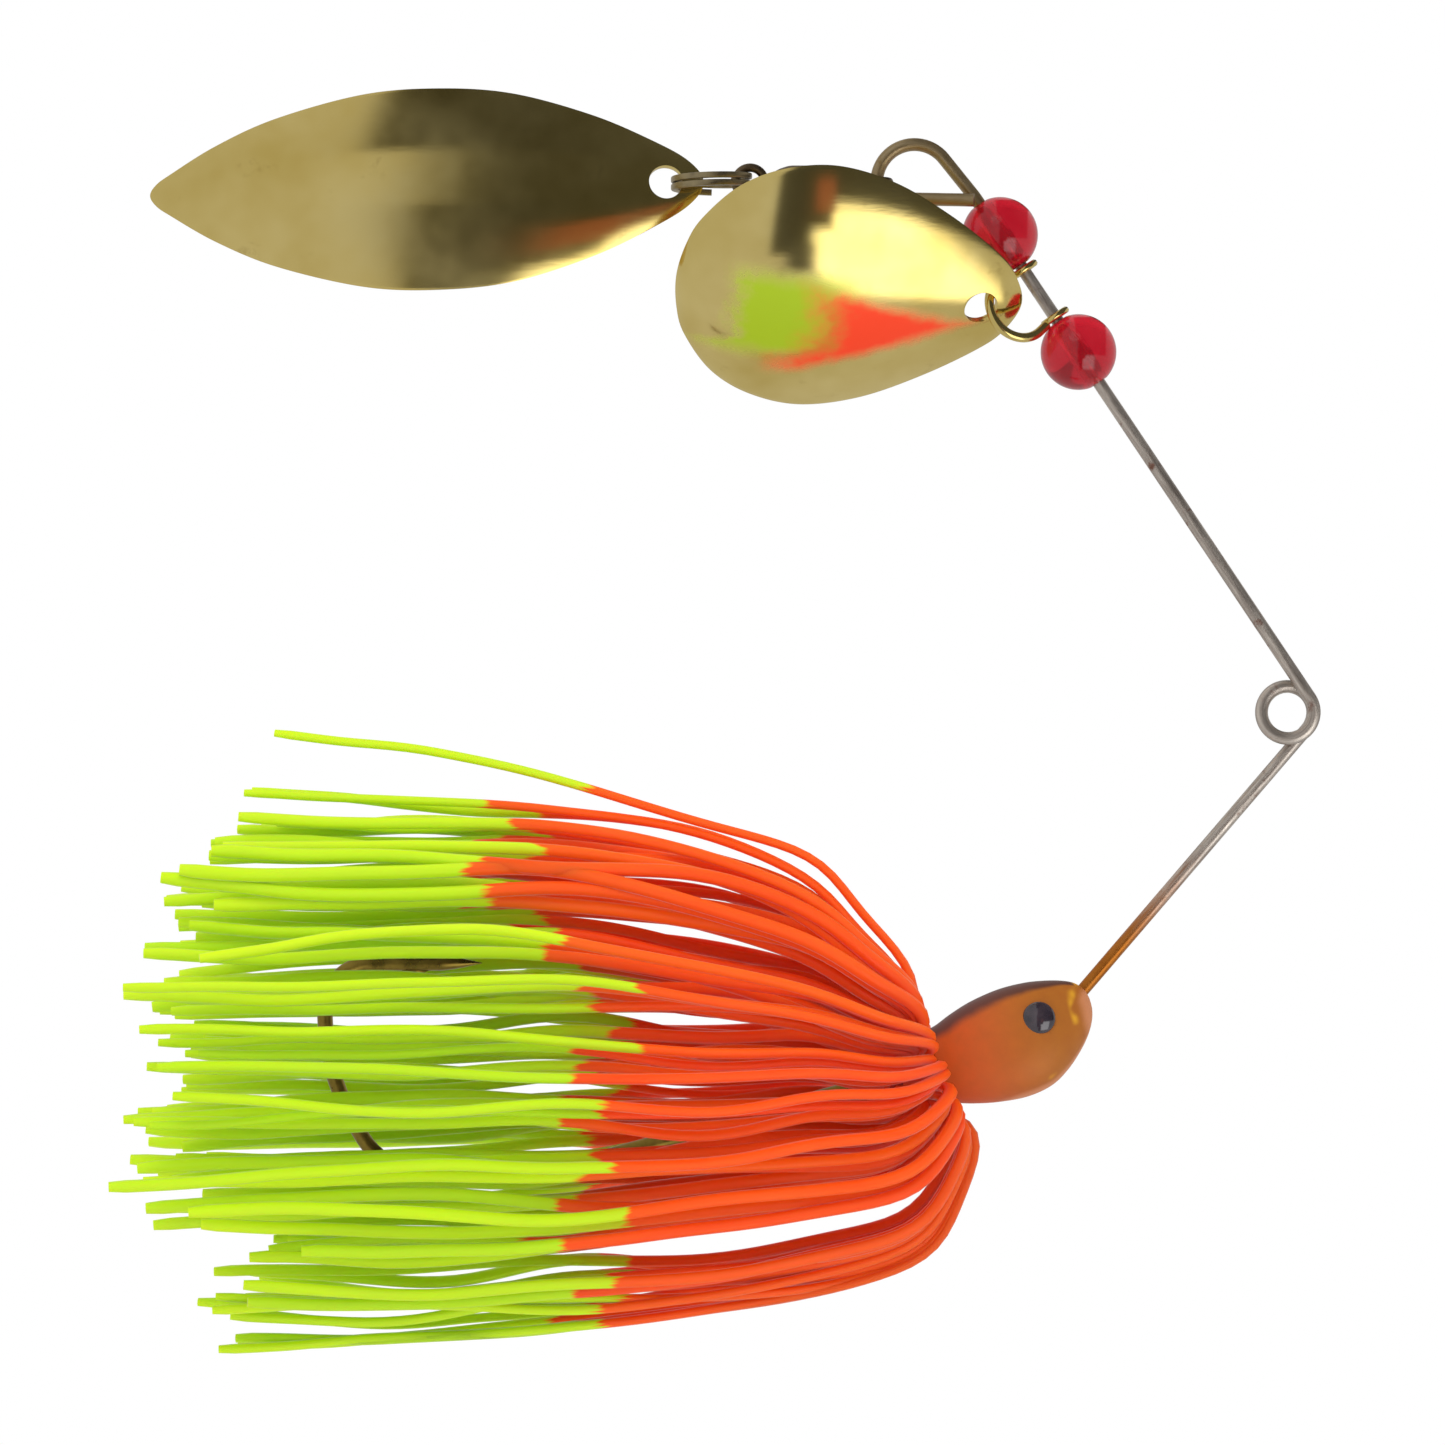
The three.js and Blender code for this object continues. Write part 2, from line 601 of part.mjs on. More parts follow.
// From the point back round the bend and along the shank into the neck.
function hookGeometry() {
  const shankEnd = new THREE.Vector3(HOOK_SHANK_DEPTH - NECK_LENGTH, 0, 0).applyMatrix4(toHead);
  const path = new BentWire(shankEnd, 180 + HEAD_TILT);
  path.run(21.6);
  path.bend(20, -13.5, 2);
  path.run(7.6);
  path.bend(5.0, -58, 5);
  path.bend(16.0, -34, 4);
  path.bend(3.3, -90, 7);
  path.run(4.6);
  const wire = solid(tube(path, HOOK_R, 10));
  const tipStart = path.end.clone();
  const tip = new THREE.ConeGeometry(HOOK_R, HOOK_POINT_TAPER, 10);
  const along = headingVector(path.heading);
  tip.applyQuaternion(new THREE.Quaternion().setFromUnitVectors(new THREE.Vector3(0, 1, 0), along));
  const middle = tipStart.clone().addScaledVector(along, HOOK_POINT_TAPER / 2 - 0.1);
  tip.translate(middle.x, middle.y, middle.z);
  return geometryOf(wire.add(solid(tip)));
}

add('hook', hookGeometry(), 'bronze');

// ---- skirt --------------------------------------------------------------------------------------------

const collarFront = -COLLAR_GAP;

function collarGeometry() {
  const half = COLLAR_LENGTH / 2;
  const bore = NECK_R + RUNNING_GAP;
  const points = [
    [bore, half], [COLLAR_R - 0.3, half], [COLLAR_R, half - 0.4], [COLLAR_R, 0.4 - half],
    [COLLAR_R - 0.3, -half], [bore, -half], [bore, half],
  ];
  return turned(points.reverse(), 20).rotateZ(Math.PI / 2);
}

const collarAt = new THREE.Vector3(collarFront - COLLAR_LENGTH / 2, 0, 0).applyMatrix4(toHead);
add('skirt_collar', collarGeometry(), 'orange', { position: collarAt, basis: headBasis });

// Strands leave the collar in three rows. Each row flares forward and out in the head's frame, then streams
// back level. A row's shape is its shoulder points, forward and out from the collar's front, and its level
// points, X and the distance from the skirt's axis.
const ROWS = [
  {
    count: 15, turn: 6, root: -0.7, tilted: [[2.0, 4.7], [1.5, 7.6], [-1.4, 11.1]],
    level: [[-34.5, 15.4], [-46, 17.3]], tipX: -73.5, tipR: 18.9,
  },
  {
    count: 15, turn: 18, root: -2.2, tilted: [[0.1, 5.0], [-1.6, 7.6], [-4.6, 9.9]],
    level: [[-37.5, 12.4], [-48, 13.9]], tipX: -75.5, tipR: 15.2,
  },
  {
    count: 12, turn: 15, root: -3.8, tilted: [[-3.2, 4.6], [-5.4, 6.3]],
    level: [[-39.5, 8.9], [-50, 10.0]], tipX: -75, tipR: 11.2,
  },
];

function skirtPoint(out, forwardBy, turn) {
  const point = new THREE.Vector3(collarFront + forwardBy, out * Math.sin(turn), out * Math.cos(turn));
  return point.applyMatrix4(toHead);
}

function levelPoint(x, out, turn) {
  return new THREE.Vector3(x, SKIRT_FLATTEN * out * Math.sin(turn), SKIRT_AXIS_Z + out * Math.cos(turn));
}

function strandPath(row, turn, tipX, tipR) {
  const points = [skirtPoint(COLLAR_R + STRAND_R + 0.05, row.root, turn)];
  for (const [forwardBy, out] of row.tilted) points.push(skirtPoint(out, forwardBy, turn));
  for (const [x, out] of row.level) points.push(levelPoint(x, out, turn));
  points.push(levelPoint(tipX, tipR, turn));
  return new THREE.CatmullRomCurve3(points, false, 'centripetal');
}

let strandNumber = 0;
for (const row of ROWS) {
  for (let place = 0; place < row.count; place++) {
    strandNumber += 1;
    const turn = radians(row.turn + (360 * place) / row.count);
    const stagger = 4.5 * Math.sin(2.4 * strandNumber);
    const path = strandPath(row, turn, row.tipX + stagger, row.tipR);
    const name = `skirt_strand_${String(strandNumber).padStart(2, '0')}`;
    add(name, tube(path, STRAND_R, 6, 11), strandNumber % 3 ? 'orange' : 'chartreuse');
  }
}

export default product;
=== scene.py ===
# Tandem-blade spinnerbait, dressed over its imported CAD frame. Lengths in this script are millimetres until a
# mesh is made, and MM turns them to metres. The wire is bent in the XZ plane and the head faces +X.
import json
import math
import random

import bmesh
import bpy
from mathutils import Matrix, Vector


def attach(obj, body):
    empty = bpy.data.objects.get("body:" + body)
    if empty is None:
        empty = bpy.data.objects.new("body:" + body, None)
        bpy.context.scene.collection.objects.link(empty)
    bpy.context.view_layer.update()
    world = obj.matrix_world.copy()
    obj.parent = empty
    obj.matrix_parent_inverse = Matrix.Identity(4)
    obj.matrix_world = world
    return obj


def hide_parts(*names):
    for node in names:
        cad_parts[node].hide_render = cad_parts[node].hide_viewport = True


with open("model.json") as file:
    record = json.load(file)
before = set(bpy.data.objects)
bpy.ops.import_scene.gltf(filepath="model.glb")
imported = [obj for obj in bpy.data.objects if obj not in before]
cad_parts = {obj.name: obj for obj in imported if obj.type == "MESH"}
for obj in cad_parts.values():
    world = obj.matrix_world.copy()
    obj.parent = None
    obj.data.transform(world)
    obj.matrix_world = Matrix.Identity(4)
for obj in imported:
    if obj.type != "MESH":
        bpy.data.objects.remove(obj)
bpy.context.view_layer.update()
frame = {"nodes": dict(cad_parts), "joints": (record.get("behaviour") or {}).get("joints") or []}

MM = 0.001

# ---- driving dimensions ----

WIRE_R = 0.45
COIL_R = 1.8
COIL_PITCH = 1.0
LOWER_ARM_ANGLE = 49.4
UPPER_ARM_ANGLE = 123.8
LOWER_ARM_LENGTH = 23.4
WIRE_IN_HEAD = 5.5
UPPER_ARM_LENGTH = 41.5
SHOULDER_BEND_R = 3.0
SHOULDER_ANGLE = 5
SHOULDER_LENGTH = 3.3
LOOP_R = 2.6
LOOP_DROP = 0.35
LOOP_CORNER_R = 0.8
LOOP_CORNER_ANGLE = 88
LOOP_LEG = 5.9
LOOP_LEG_DRIFT = -1.1

BEAD_R = 2.62
BEAD_BORE_R = 0.56
BEAD_CHAMFER = 0.12
CLEVIS_WIRE_R = 0.33
CLEVIS_BEND_R = 2.25
CLEVIS_FLARE = 9
CLEVIS_TURN = 30
EAR_AT = 1.95
EAR_R = 1.1
EAR_THICKNESS = 0.45

BLADE_THICKNESS = 0.5
BLADE_HOLE_R = 1.17
FRONT_BLADE = {"length": 24.1, "width": 19.0, "cup": 3.0, "hole_at": 3.0}
REAR_BLADE = {"length": 38.3, "width": 14.3, "cup": 1.7, "hole_at": 2.6}
FRONT_BLADE_HEADING = 176
FRONT_BLADE_LEAN = 8
FRONT_BLADE_TILT = -34
REAR_BLADE_HEADING = 181.4
REAR_BLADE_TILT = 9

EYE_WIRE_R = 0.3
EYE_R = 1.0
BARREL_R = 1.15
BARREL_LENGTH = 5.3
EYE_TO_BARREL = 0.35
STEM_LENGTH = 1.2
STEM_HEAD_R = 0.62
RING_R = 2.56
RING_GAP = 0.06
RING_RADIAL = 0.5
RING_HEIGHT = 0.42
RING_PITCH = 0.52
RING_TURNS = 1.9

HEAD_TILT = 15.5
HEAD_REAR = Vector((-24.4, 0, -24.45))
NECK_R = 1.5
NECK_LENGTH = 6.2
HOOK_R = 0.54
HOOK_SHANK_DEPTH = 4.0

COLLAR_R = 2.75
COLLAR_LENGTH = 4.6
COLLAR_GAP = 0.5
STRAND_R = 0.43
SKIRT_AXIS_Z = -24.8
SKIRT_FLATTEN = 0.8


# ---- directions and placing ----


def heading_vector(degrees):
    return Vector((math.cos(math.radians(degrees)), 0, math.sin(math.radians(degrees))))


def basis(x, y, z, origin=(0, 0, 0)):
    turn = Matrix((x, y, z)).transposed().to_4x4()
    return Matrix.Translation(origin) @ turn


joints = {joint["name"]: joint for joint in frame["joints"]}


def pivot(name):
    return Vector(joints[name]["pos_m"]) / MM


ARM = heading_vector(UPPER_ARM_ANGLE)
FORWARD = heading_vector(HEAD_TILT)
HEAD_UP = heading_vector(HEAD_TILT + 90)
TO_HEAD = basis(FORWARD, Vector((0, 1, 0)), HEAD_UP, HEAD_REAR)


# A wire bent on a plane by runs and arcs. A heading of 0 is +X and 90 is +Z, and drift carries it along Y.
class WireBender:
    def __init__(self, start, heading):
        self.points = [Vector(start)]
        self.heading = heading

    def run(self, length, drift=0.0, steps=1):
        start = self.points[-1].copy()
        travel = heading_vector(self.heading) * length + Vector((0, drift, 0))
        for step in range(1, steps + 1):
            self.points.append(start + travel * (step / steps))

    def bend(self, radius, angle, drift=0.0):
        side = math.copysign(1, angle)
        start = self.points[-1].copy()
        centre = start + heading_vector(self.heading + 90 * side) * radius
        steps = max(2, round(abs(angle) / 6))
        for step in range(1, steps + 1):
            share = step / steps
            spoke = heading_vector(self.heading + angle * share - 90 * side)
            self.points.append(centre + spoke * radius + Vector((0, drift * share, 0)))
        self.heading = (self.heading + angle) % 360


# A smooth line through given points, as evenly spaced points about `spacing` apart.
def smooth_line(points, spacing, before=None, after=None):
    ends = [before or points[0] * 2 - points[1], *points, after or points[-1] * 2 - points[-2]]
    fine = []
    for lead, start, end, follow in zip(ends, ends[1:], ends[2:], ends[3:]):
        for step in range(12):
            t = step / 12
            fine.append(
                0.5 * (2 * start + (end - lead) * t
                       + (2 * lead - 5 * start + 4 * end - follow) * t**2
                       + (3 * start - lead - 3 * end + follow) * t**3)
            )
    fine.append(points[-1].copy())
    length = sum((b - a).length for a, b in zip(fine, fine[1:]))
    count = max(2, round(length / spacing))
    even, travelled, wanted = [fine[0]], 0.0, length / count
    for a, b in zip(fine, fine[1:]):
        gap = (b - a).length
        while travelled + gap >= wanted - 1e-9 and len(even) < count:
            even.append(a.lerp(b, (wanted - travelled) / gap))
            wanted += length / count
        travelled += gap
    even.append(fine[-1])
    return even


# ---- meshes ----


def link(name, mesh):
    piece = bpy.data.objects.new(name, mesh)
    bpy.context.scene.collection.objects.link(piece)
    return piece


# Turns what the modifiers make of a piece into its plain mesh.
def settle(piece):
    graph = bpy.context.evaluated_depsgraph_get()
    mesh = bpy.data.meshes.new_from_object(
        piece.evaluated_get(graph), preserve_all_data_layers=True, depsgraph=graph
    )
    piece.modifiers.clear()
    piece.data = mesh
    return piece


def mesh_piece(name, points, faces, finish, place=Matrix(), marks=None):
    mesh = bpy.data.meshes.new(name)
    mesh.from_pydata([(place @ Vector(p)) * MM for p in points], [], faces)
    for mark, values in (marks or {}).items():
        mesh.attributes.new(mark, "FLOAT", "POINT").data.foreach_set("value", values)
    build = bmesh.new()
    build.from_mesh(mesh)
    bmesh.ops.remove_doubles(build, verts=build.verts, dist=1e-7)
    bmesh.ops.recalc_face_normals(build, faces=build.faces)
    build.to_mesh(mesh)
    build.free()
    mesh.shade_smooth()
    mesh.materials.append(finish)
    return link(name, mesh)


def join(name, pieces):
    whole = pieces[0]
    with bpy.context.temp_override(
        active_object=whole, selected_editable_objects=pieces, selected_objects=pieces
    ):
        bpy.ops.object.join()
    whole.name = name
    return whole


# A profile of (radius, height) pairs turned about local Z. A closed profile makes a ring.
def turned(name, profile, finish, place, segments=48, closed=False):
    points, faces = [], []
    for segment in range(segments):
        angle = 2 * math.pi * segment / segments
        for radius, height in profile:
            points.append((radius * math.cos(angle), radius * math.sin(angle), height))
    rows = len(profile)
    for segment in range(segments):
        here, there = segment * rows, (segment + 1) % segments * rows
        for row in range(rows if closed else rows - 1):
            after = (row + 1) % rows
            faces.append((here + row, there + row, there + after, here + after))
    return mesh_piece(name, points, faces, finish, place)


# ---- Geometry Nodes ----


# Adds a node to any tree. An input given a socket is linked to it, and any other is set.
def add_node(tree, kind, inputs=None, **settings):
    node = tree.nodes.new(kind)
    for key, value in settings.items():
        setattr(node, key, value)
    for key, value in (inputs or {}).items():
        if isinstance(value, bpy.types.NodeSocket):
            tree.links.new(value, node.inputs[key])
        else:
            node.inputs[key].default_value = value
    return node


class Tree:
    def __init__(self, name, sizes):
        self.tree = bpy.data.node_groups.new(name, "GeometryNodeTree")
        face = self.tree.interface
        face.new_socket("Geometry", in_out="INPUT", socket_type="NodeSocketGeometry")
        face.new_socket("Geometry", in_out="OUTPUT", socket_type="NodeSocketGeometry")
        for size in sizes:
            kind = "NodeSocketInt" if size in ("Sides", "Seed") else "NodeSocketFloat"
            face.new_socket(size, in_out="INPUT", socket_type=kind)
        face.new_socket("Material", in_out="INPUT", socket_type="NodeSocketMaterial")
        self.given = self.tree.nodes.new("NodeGroupInput").outputs
        self.result = self.tree.nodes.new("NodeGroupOutput").inputs

    def node(self, kind, inputs=None, **settings):
        return add_node(self.tree, kind, inputs, **settings).outputs

    def guide(self):
        return self.node("GeometryNodeMeshToCurve", {"Mesh": self.given["Geometry"]})["Curve"]

    def circle(self):
        return self.node("GeometryNodeCurvePrimitiveCircle", {
            "Radius": self.given["Radius"], "Resolution": self.given["Sides"],
        })["Curve"]

    # Gives the curve its length as "along", sweeps the profile on it, and finishes the tree.
    def sweep(self, curve, profile):
        length = self.node("GeometryNodeSplineParameter")["Length"]
        marked = self.node("GeometryNodeStoreNamedAttribute", {
            "Geometry": curve, "Name": "along", "Value": length,
        })["Geometry"]
        around = self.node("GeometryNodeSplineParameter")["Factor"]
        section = self.node("GeometryNodeStoreNamedAttribute", {
            "Geometry": profile, "Name": "round", "Value": around,
        })["Geometry"]
        thickness = self.node("GeometryNodeInputNamedAttribute", {"Name": "thickness"})["Attribute"]
        swept = self.node("GeometryNodeCurveToMesh", {
            "Curve": marked, "Profile Curve": section, "Scale": thickness, "Fill Caps": True,
        })["Mesh"]
        smooth = self.node("GeometryNodeSetShadeSmooth", {"Geometry": swept})["Geometry"]
        plain = self.node("GeometryNodeRealizeInstances", {"Geometry": smooth})["Geometry"]
        finished = self.node("GeometryNodeSetMaterial", {
            "Geometry": plain, "Material": self.given["Material"],
        })["Geometry"]
        self.tree.links.new(finished, self.result["Geometry"])
        return self.tree


def round_wire_tree():
    tree = Tree("Round wire along a path", ["Radius", "Sides"])
    return tree.sweep(tree.guide(), tree.circle())


def flat_strip_tree():
    tree = Tree("Flat strip along a path", ["Width", "Height", "Corner"])
    upright = tree.node("GeometryNodeSetCurveNormal", {"Curve": tree.guide()}, mode="Z_UP")["Curve"]
    outline = tree.node("GeometryNodeCurvePrimitiveQuadrilateral", {
        "Width": tree.given["Width"], "Height": tree.given["Height"],
    })["Curve"]
    rounded = tree.node("GeometryNodeFilletCurve", {
        "Curve": outline, "Radius": tree.given["Corner"], "Count": 3,
    }, mode="POLY")["Curve"]
    return tree.sweep(upright, rounded)


# Skirt strands: each guide line is given a soft wave that grows towards its tip, and a slightly flat section.
def strand_tree():
    tree = Tree("Skirt strands along guides", ["Radius", "Sides", "Flatness", "Wave", "Seed"])
    share = tree.node("GeometryNodeSplineParameter")["Factor"]
    strand = tree.node("GeometryNodeInputNamedAttribute", {"Name": "strand"})["Attribute"]
    seeded = tree.node("ShaderNodeMath", {0: strand, 1: tree.given["Seed"]}, operation="ADD")[0]
    place = tree.node("ShaderNodeCombineXYZ", {"X": share, "Y": seeded})[0]
    noise = tree.node("ShaderNodeTexNoise", {"Vector": place, "Scale": 3.1, "Detail": 1.0})["Color"]
    centred = tree.node("ShaderNodeVectorMath", {0: noise, 1: (0.5, 0.5, 0.5)}, operation="SUBTRACT")[0]
    reach = tree.node("ShaderNodeMath", {0: share, 1: tree.given["Wave"]}, operation="MULTIPLY")[0]
    wave = tree.node("ShaderNodeVectorMath", {0: centred, "Scale": reach}, operation="SCALE")[0]
    waved = tree.node("GeometryNodeSetPosition", {"Geometry": tree.guide(), "Offset": wave})["Geometry"]
    squeeze = tree.node("ShaderNodeCombineXYZ", {"X": 1.0, "Y": tree.given["Flatness"], "Z": 1.0})[0]
    oval = tree.node("GeometryNodeTransform", {"Geometry": tree.circle(), "Scale": squeeze})["Geometry"]
    return tree.sweep(waved, oval)


ROUND_WIRE = round_wire_tree()
FLAT_STRIP = flat_strip_tree()
STRANDS = strand_tree()


# Runs a tree on guide lines. A guide is its points, and marks are named numbers for each point.
def swept(name, tree, guides, finish, sizes, closed=False, marks=None):
    points, edges = [], []
    for guide in guides:
        first = len(points)
        points += [p * MM for p in guide]
        edges += [(i, i + 1) for i in range(first, len(points) - 1)]
        if closed:
            edges.append((len(points) - 1, first))
    mesh = bpy.data.meshes.new(name)
    mesh.from_pydata(points, edges, [])
    marks = {"thickness": [1.0] * len(points), **(marks or {})}
    for mark, values in marks.items():
        mesh.attributes.new(mark, "FLOAT", "POINT").data.foreach_set("value", values)
    piece = link(name, mesh)
    maker = piece.modifiers.new(tree.name, "NODES")
    maker.node_group = tree
    for socket in tree.interface.items_tree:
        if socket.in_out == "INPUT" and socket.name in sizes:
            maker[socket.identifier] = sizes[socket.name]
        if socket.in_out == "INPUT" and socket.name == "Material":
            maker[socket.identifier] = finish
    settle(piece)
    piece.data.materials.clear()
    piece.data.materials.append(finish)
    return piece


def round_wire(name, guide, finish, radius, sides=16, closed=False, thickness=None):
    marks = {"thickness": thickness} if thickness else None
    sizes = {"Radius": radius * MM, "Sides": sides}
    return swept(name, ROUND_WIRE, [guide], finish, sizes, closed, marks)


# ---- finishes ----


def colour(red, green, blue):
    def linear(value):
        share = value / 255
        return share / 12.92 if share <= 0.04045 else ((share + 0.055) / 1.055) ** 2.4

    return (linear(red), linear(green), linear(blue), 1.0)


class Finish:
    def __init__(self, name, **sockets):
        self.material = bpy.data.materials.new(name)
        self.material.use_nodes = True
        self.tree = self.material.node_tree
        self.shader = self.tree.nodes["Principled BSDF"]
        for socket, value in sockets.items():
            self.shader.inputs[socket.replace("_", " ")].default_value = value
        self.object = self.node("ShaderNodeTexCoord").outputs["Object"]

    def node(self, kind, inputs=None, **settings):
        return add_node(self.tree, kind, inputs, **settings)

    def give(self, socket, value):
        self.tree.links.new(value, self.shader.inputs[socket])

    def stretched(self, scale, turn):
        inputs = {"Vector": self.object, "Scale": scale, "Rotation": turn}
        return self.node("ShaderNodeMapping", inputs).outputs[0]

    def noise(self, scale, detail=3.0, roughness=0.55, vector=None):
        return self.node("ShaderNodeTexNoise", {
            "Vector": vector or self.object, "Scale": scale, "Detail": detail, "Roughness": roughness,
        }).outputs["Fac"]

    def mark(self, name):
        return self.node("ShaderNodeAttribute", attribute_name=name).outputs["Fac"]

    def math(self, operation, first, second=0.0, clamp=False):
        inputs = {0: first, 1: second}
        return self.node("ShaderNodeMath", inputs, operation=operation, use_clamp=clamp).outputs[0]

    def times(self, first, second):
        return self.math("MULTIPLY", first, second)

    def plus(self, first, second):
        return self.math("ADD", first, second)

    def minus(self, first, second):
        return self.math("SUBTRACT", first, second)

    # Where a value lies between low and high, as 0 to 1 with soft ends.
    def step(self, value, low, high):
        return self.node("ShaderNodeMapRange", {
            "Value": value, "From Min": low, "From Max": high,
        }, interpolation_type="SMOOTHSTEP").outputs[0]

    def between(self, value, low, high):
        return self.node("ShaderNodeMapRange", {
            "Value": value, "From Min": 0.3, "From Max": 0.7, "To Min": low, "To Max": high,
        }).outputs[0]

    def blend(self, share, first, second):
        mixed = self.node("ShaderNodeMix", {0: share, 6: first, 7: second}, data_type="RGBA")
        return mixed.outputs[2]

    def mottle(self, noise, first, second):
        return self.blend(self.between(noise, 0.0, 1.0), first, second)

    def bump(self, height, strength, distance=0.0001):
        inputs = {"Height": height, "Strength": strength, "Distance": distance}
        self.give("Normal", self.node("ShaderNodeBump", inputs).outputs[0])


def spring_wire():
    made = Finish("Spring wire", Metallic=0.85)
    along = made.mark("along")
    round_share = made.mark("round")
    streak_at = made.node("ShaderNodeCombineXYZ", {
        "X": made.times(along, 260.0),
        "Y": made.times(round_share, 9.0),
    }).outputs[0]
    streaks = made.noise(1.0, 4.0, 0.6, streak_at)
    grime = made.noise(900.0, 4.0, 0.65)
    steel = made.mottle(streaks, colour(138, 126, 118), colour(222, 212, 200))
    steel = made.blend(made.step(grime, 0.56, 0.76), steel, colour(128, 92, 78))
    lacquer = made.mottle(grime, colour(168, 96, 28), colour(196, 122, 44))
    worn = made.plus(along, made.times(made.minus(streaks, 0.5), 0.008))
    from_head = made.minus(1.0, made.step(worn, 0.0085, 0.0185))
    wire = made.blend(from_head, steel, lacquer)
    brassy = made.step(along, 0.0795, 0.0835)
    wire = made.blend(made.times(brassy, 0.75), wire, colour(150, 124, 66))
    made.give("Base Color", wire)
    made.give("Roughness", made.between(grime, 0.28, 0.5))
    made.bump(streaks, 0.25, 0.00006)
    return made.material


def gold_plate(name, paint_patch=False):
    made = Finish(name, Metallic=1.0)
    cloudy = made.noise(120.0, 3.0, 0.6)
    fine = made.noise(1.0, 2.0, 0.5, made.stretched((260.0, 1500.0, 2600.0), (0.0, 0.35, 0.0)))
    gold = made.mottle(cloudy, colour(214, 188, 104), colour(236, 214, 140))
    worn = made.step(made.noise(420.0, 5.0, 0.7), 0.6, 0.78)
    gold = made.blend(made.times(worn, 0.35), gold, colour(158, 132, 62))
    made.give("Base Color", gold)
    made.give("Roughness", made.between(cloudy, 0.1, 0.22))
    made.bump(fine, 0.08, 0.00004)
    if paint_patch:
        airbrush(made, gold)
    return made.material


# The airbrushed patch on the front blade: a hot orange wedge from the hole, and chartreuse behind it. Places
# are shares of the blade's length and of its half width.
WEDGE_FROM = 0.14
WEDGE_TO = 0.68
WEDGE_HALF = 0.43
PATCH_TO = 0.88


def airbrush(made, gold):
    flat = made.node("ShaderNodeUVMap", uv_map="blade").outputs[0]
    apart = made.node("ShaderNodeSeparateXYZ", {"Vector": flat})
    along, across = apart.outputs[0], apart.outputs[1]
    fuzz = made.times(made.minus(made.noise(520.0, 4.0, 0.7), 0.5), 0.1)
    middle = made.plus(made.times(along, 0.15), 0.105)
    off = made.plus(made.math("ABSOLUTE", made.minus(across, middle)), fuzz)
    opened = made.math("DIVIDE", made.minus(along, WEDGE_FROM), WEDGE_TO - WEDGE_FROM)
    half = made.times(made.math("MINIMUM", opened, 1.0), WEDGE_HALF)
    inside = made.step(made.minus(half, off), -0.06, 0.1)
    streaked = made.plus(along, made.times(fuzz, 1.4))
    streaked = made.minus(streaked, made.times(made.step(across, 0.32, 0.5), 0.1))
    orange = made.times(inside, made.step(streaked, WEDGE_TO, WEDGE_TO - 0.2))
    yellow_ends = made.times(made.step(streaked, 0.42, 0.66), made.step(streaked, PATCH_TO, 0.78))
    off_low = made.plus(made.math("ABSOLUTE", made.minus(across, 0.12)), fuzz)
    yellow = made.times(yellow_ends, made.step(off_low, 0.46, 0.22))
    painted = made.blend(yellow, gold, colour(168, 196, 0))
    painted = made.blend(orange, painted, colour(255, 62, 0))
    made.give("Base Color", painted)
    covered = made.math("MAXIMUM", orange, yellow, clamp=True)
    made.give("Metallic", made.minus(1.0, made.times(covered, 0.9)))
    made.give("Roughness", made.plus(0.12, made.times(covered, 0.3)))


def tarnished(name, dark, light, grain=(700.0, 4.0, 0.65), polish=(0.24, 0.48), depth=0.15):
    made = Finish(name, Metallic=0.9)
    cloudy = made.noise(*grain)
    made.give("Base Color", made.mottle(cloudy, dark, light))
    made.give("Roughness", made.between(cloudy, *polish))
    made.bump(cloudy, depth, 0.00005)
    return made.material


def red_acrylic():
    made = Finish("Red acrylic", IOR=1.49, Transmission_Weight=0.72, Specular_IOR_Level=0.5)
    cloudy = made.noise(240.0, 3.0, 0.6)
    made.give("Base Color", made.mottle(cloudy, colour(206, 14, 40), colour(236, 44, 62)))
    scuffs = made.noise(1600.0, 3.0, 0.7)
    made.give("Roughness", made.between(scuffs, 0.05, 0.14))
    made.bump(scuffs, 0.05, 0.00005)
    return made.material


# Orange-brown sides, olive towards the nose, a dark back, and a pale rim along the belly and round the nose.
# "back" and "rim" are painted on the casting as numbers from 0 to 1. Gold specks along the rim's inner edge
# are a painted highlight.
def head_lacquer():
    made = Finish("Pearl lacquer", Metallic=0.1, Roughness=0.52, Coat_Weight=0.1, Coat_Roughness=0.35)
    forward = made.mark("forward")
    cloud = made.times(made.minus(made.noise(520.0, 4.0, 0.6), 0.5), 0.3)
    side = made.blend(made.step(forward, 0.1, 0.75), colour(204, 82, 0), colour(176, 100, 0))
    side = made.blend(made.between(made.noise(900.0, 3.0, 0.6), 0.0, 0.3), side, colour(158, 78, 0))
    back = made.step(made.plus(made.mark("back"), cloud), 0.35, 0.85)
    painted = made.blend(made.times(back, 0.9), side, colour(78, 40, 34))
    rim = made.step(made.plus(made.mark("rim"), made.times(cloud, 0.6)), 0.4, 0.8)
    painted = made.blend(made.times(rim, 0.85), painted, colour(208, 132, 84))
    # Painted highlight: broken gold specks along the inner edge of the rim stand for glints of light on the
    # rounded edge.
    painted_rim_highlight = made.times(made.step(made.mark("rim"), 0.06, 0.26), made.step(made.mark("rim"), 0.52, 0.3))
    highlight_specks = made.step(made.noise(340.0, 2.0, 0.5), 0.46, 0.6)
    painted = made.blend(made.times(painted_rim_highlight, made.times(highlight_specks, 0.8)), painted, colour(240, 176, 10))
    made.give("Base Color", painted)
    made.bump(made.noise(1400.0, 3.0, 0.6), 0.06, 0.00006)
    return made.material


def eye_lacquer():
    made = Finish("Black eye lacquer", Roughness=0.12, Coat_Weight=1.0, Coat_Roughness=0.04)
    pupil = made.noise(900.0, 3.0, 0.6)
    made.give("Base Color", made.mottle(pupil, colour(26, 20, 32), colour(60, 50, 58)))
    made.bump(pupil, 0.04, 0.00005)
    return made.material


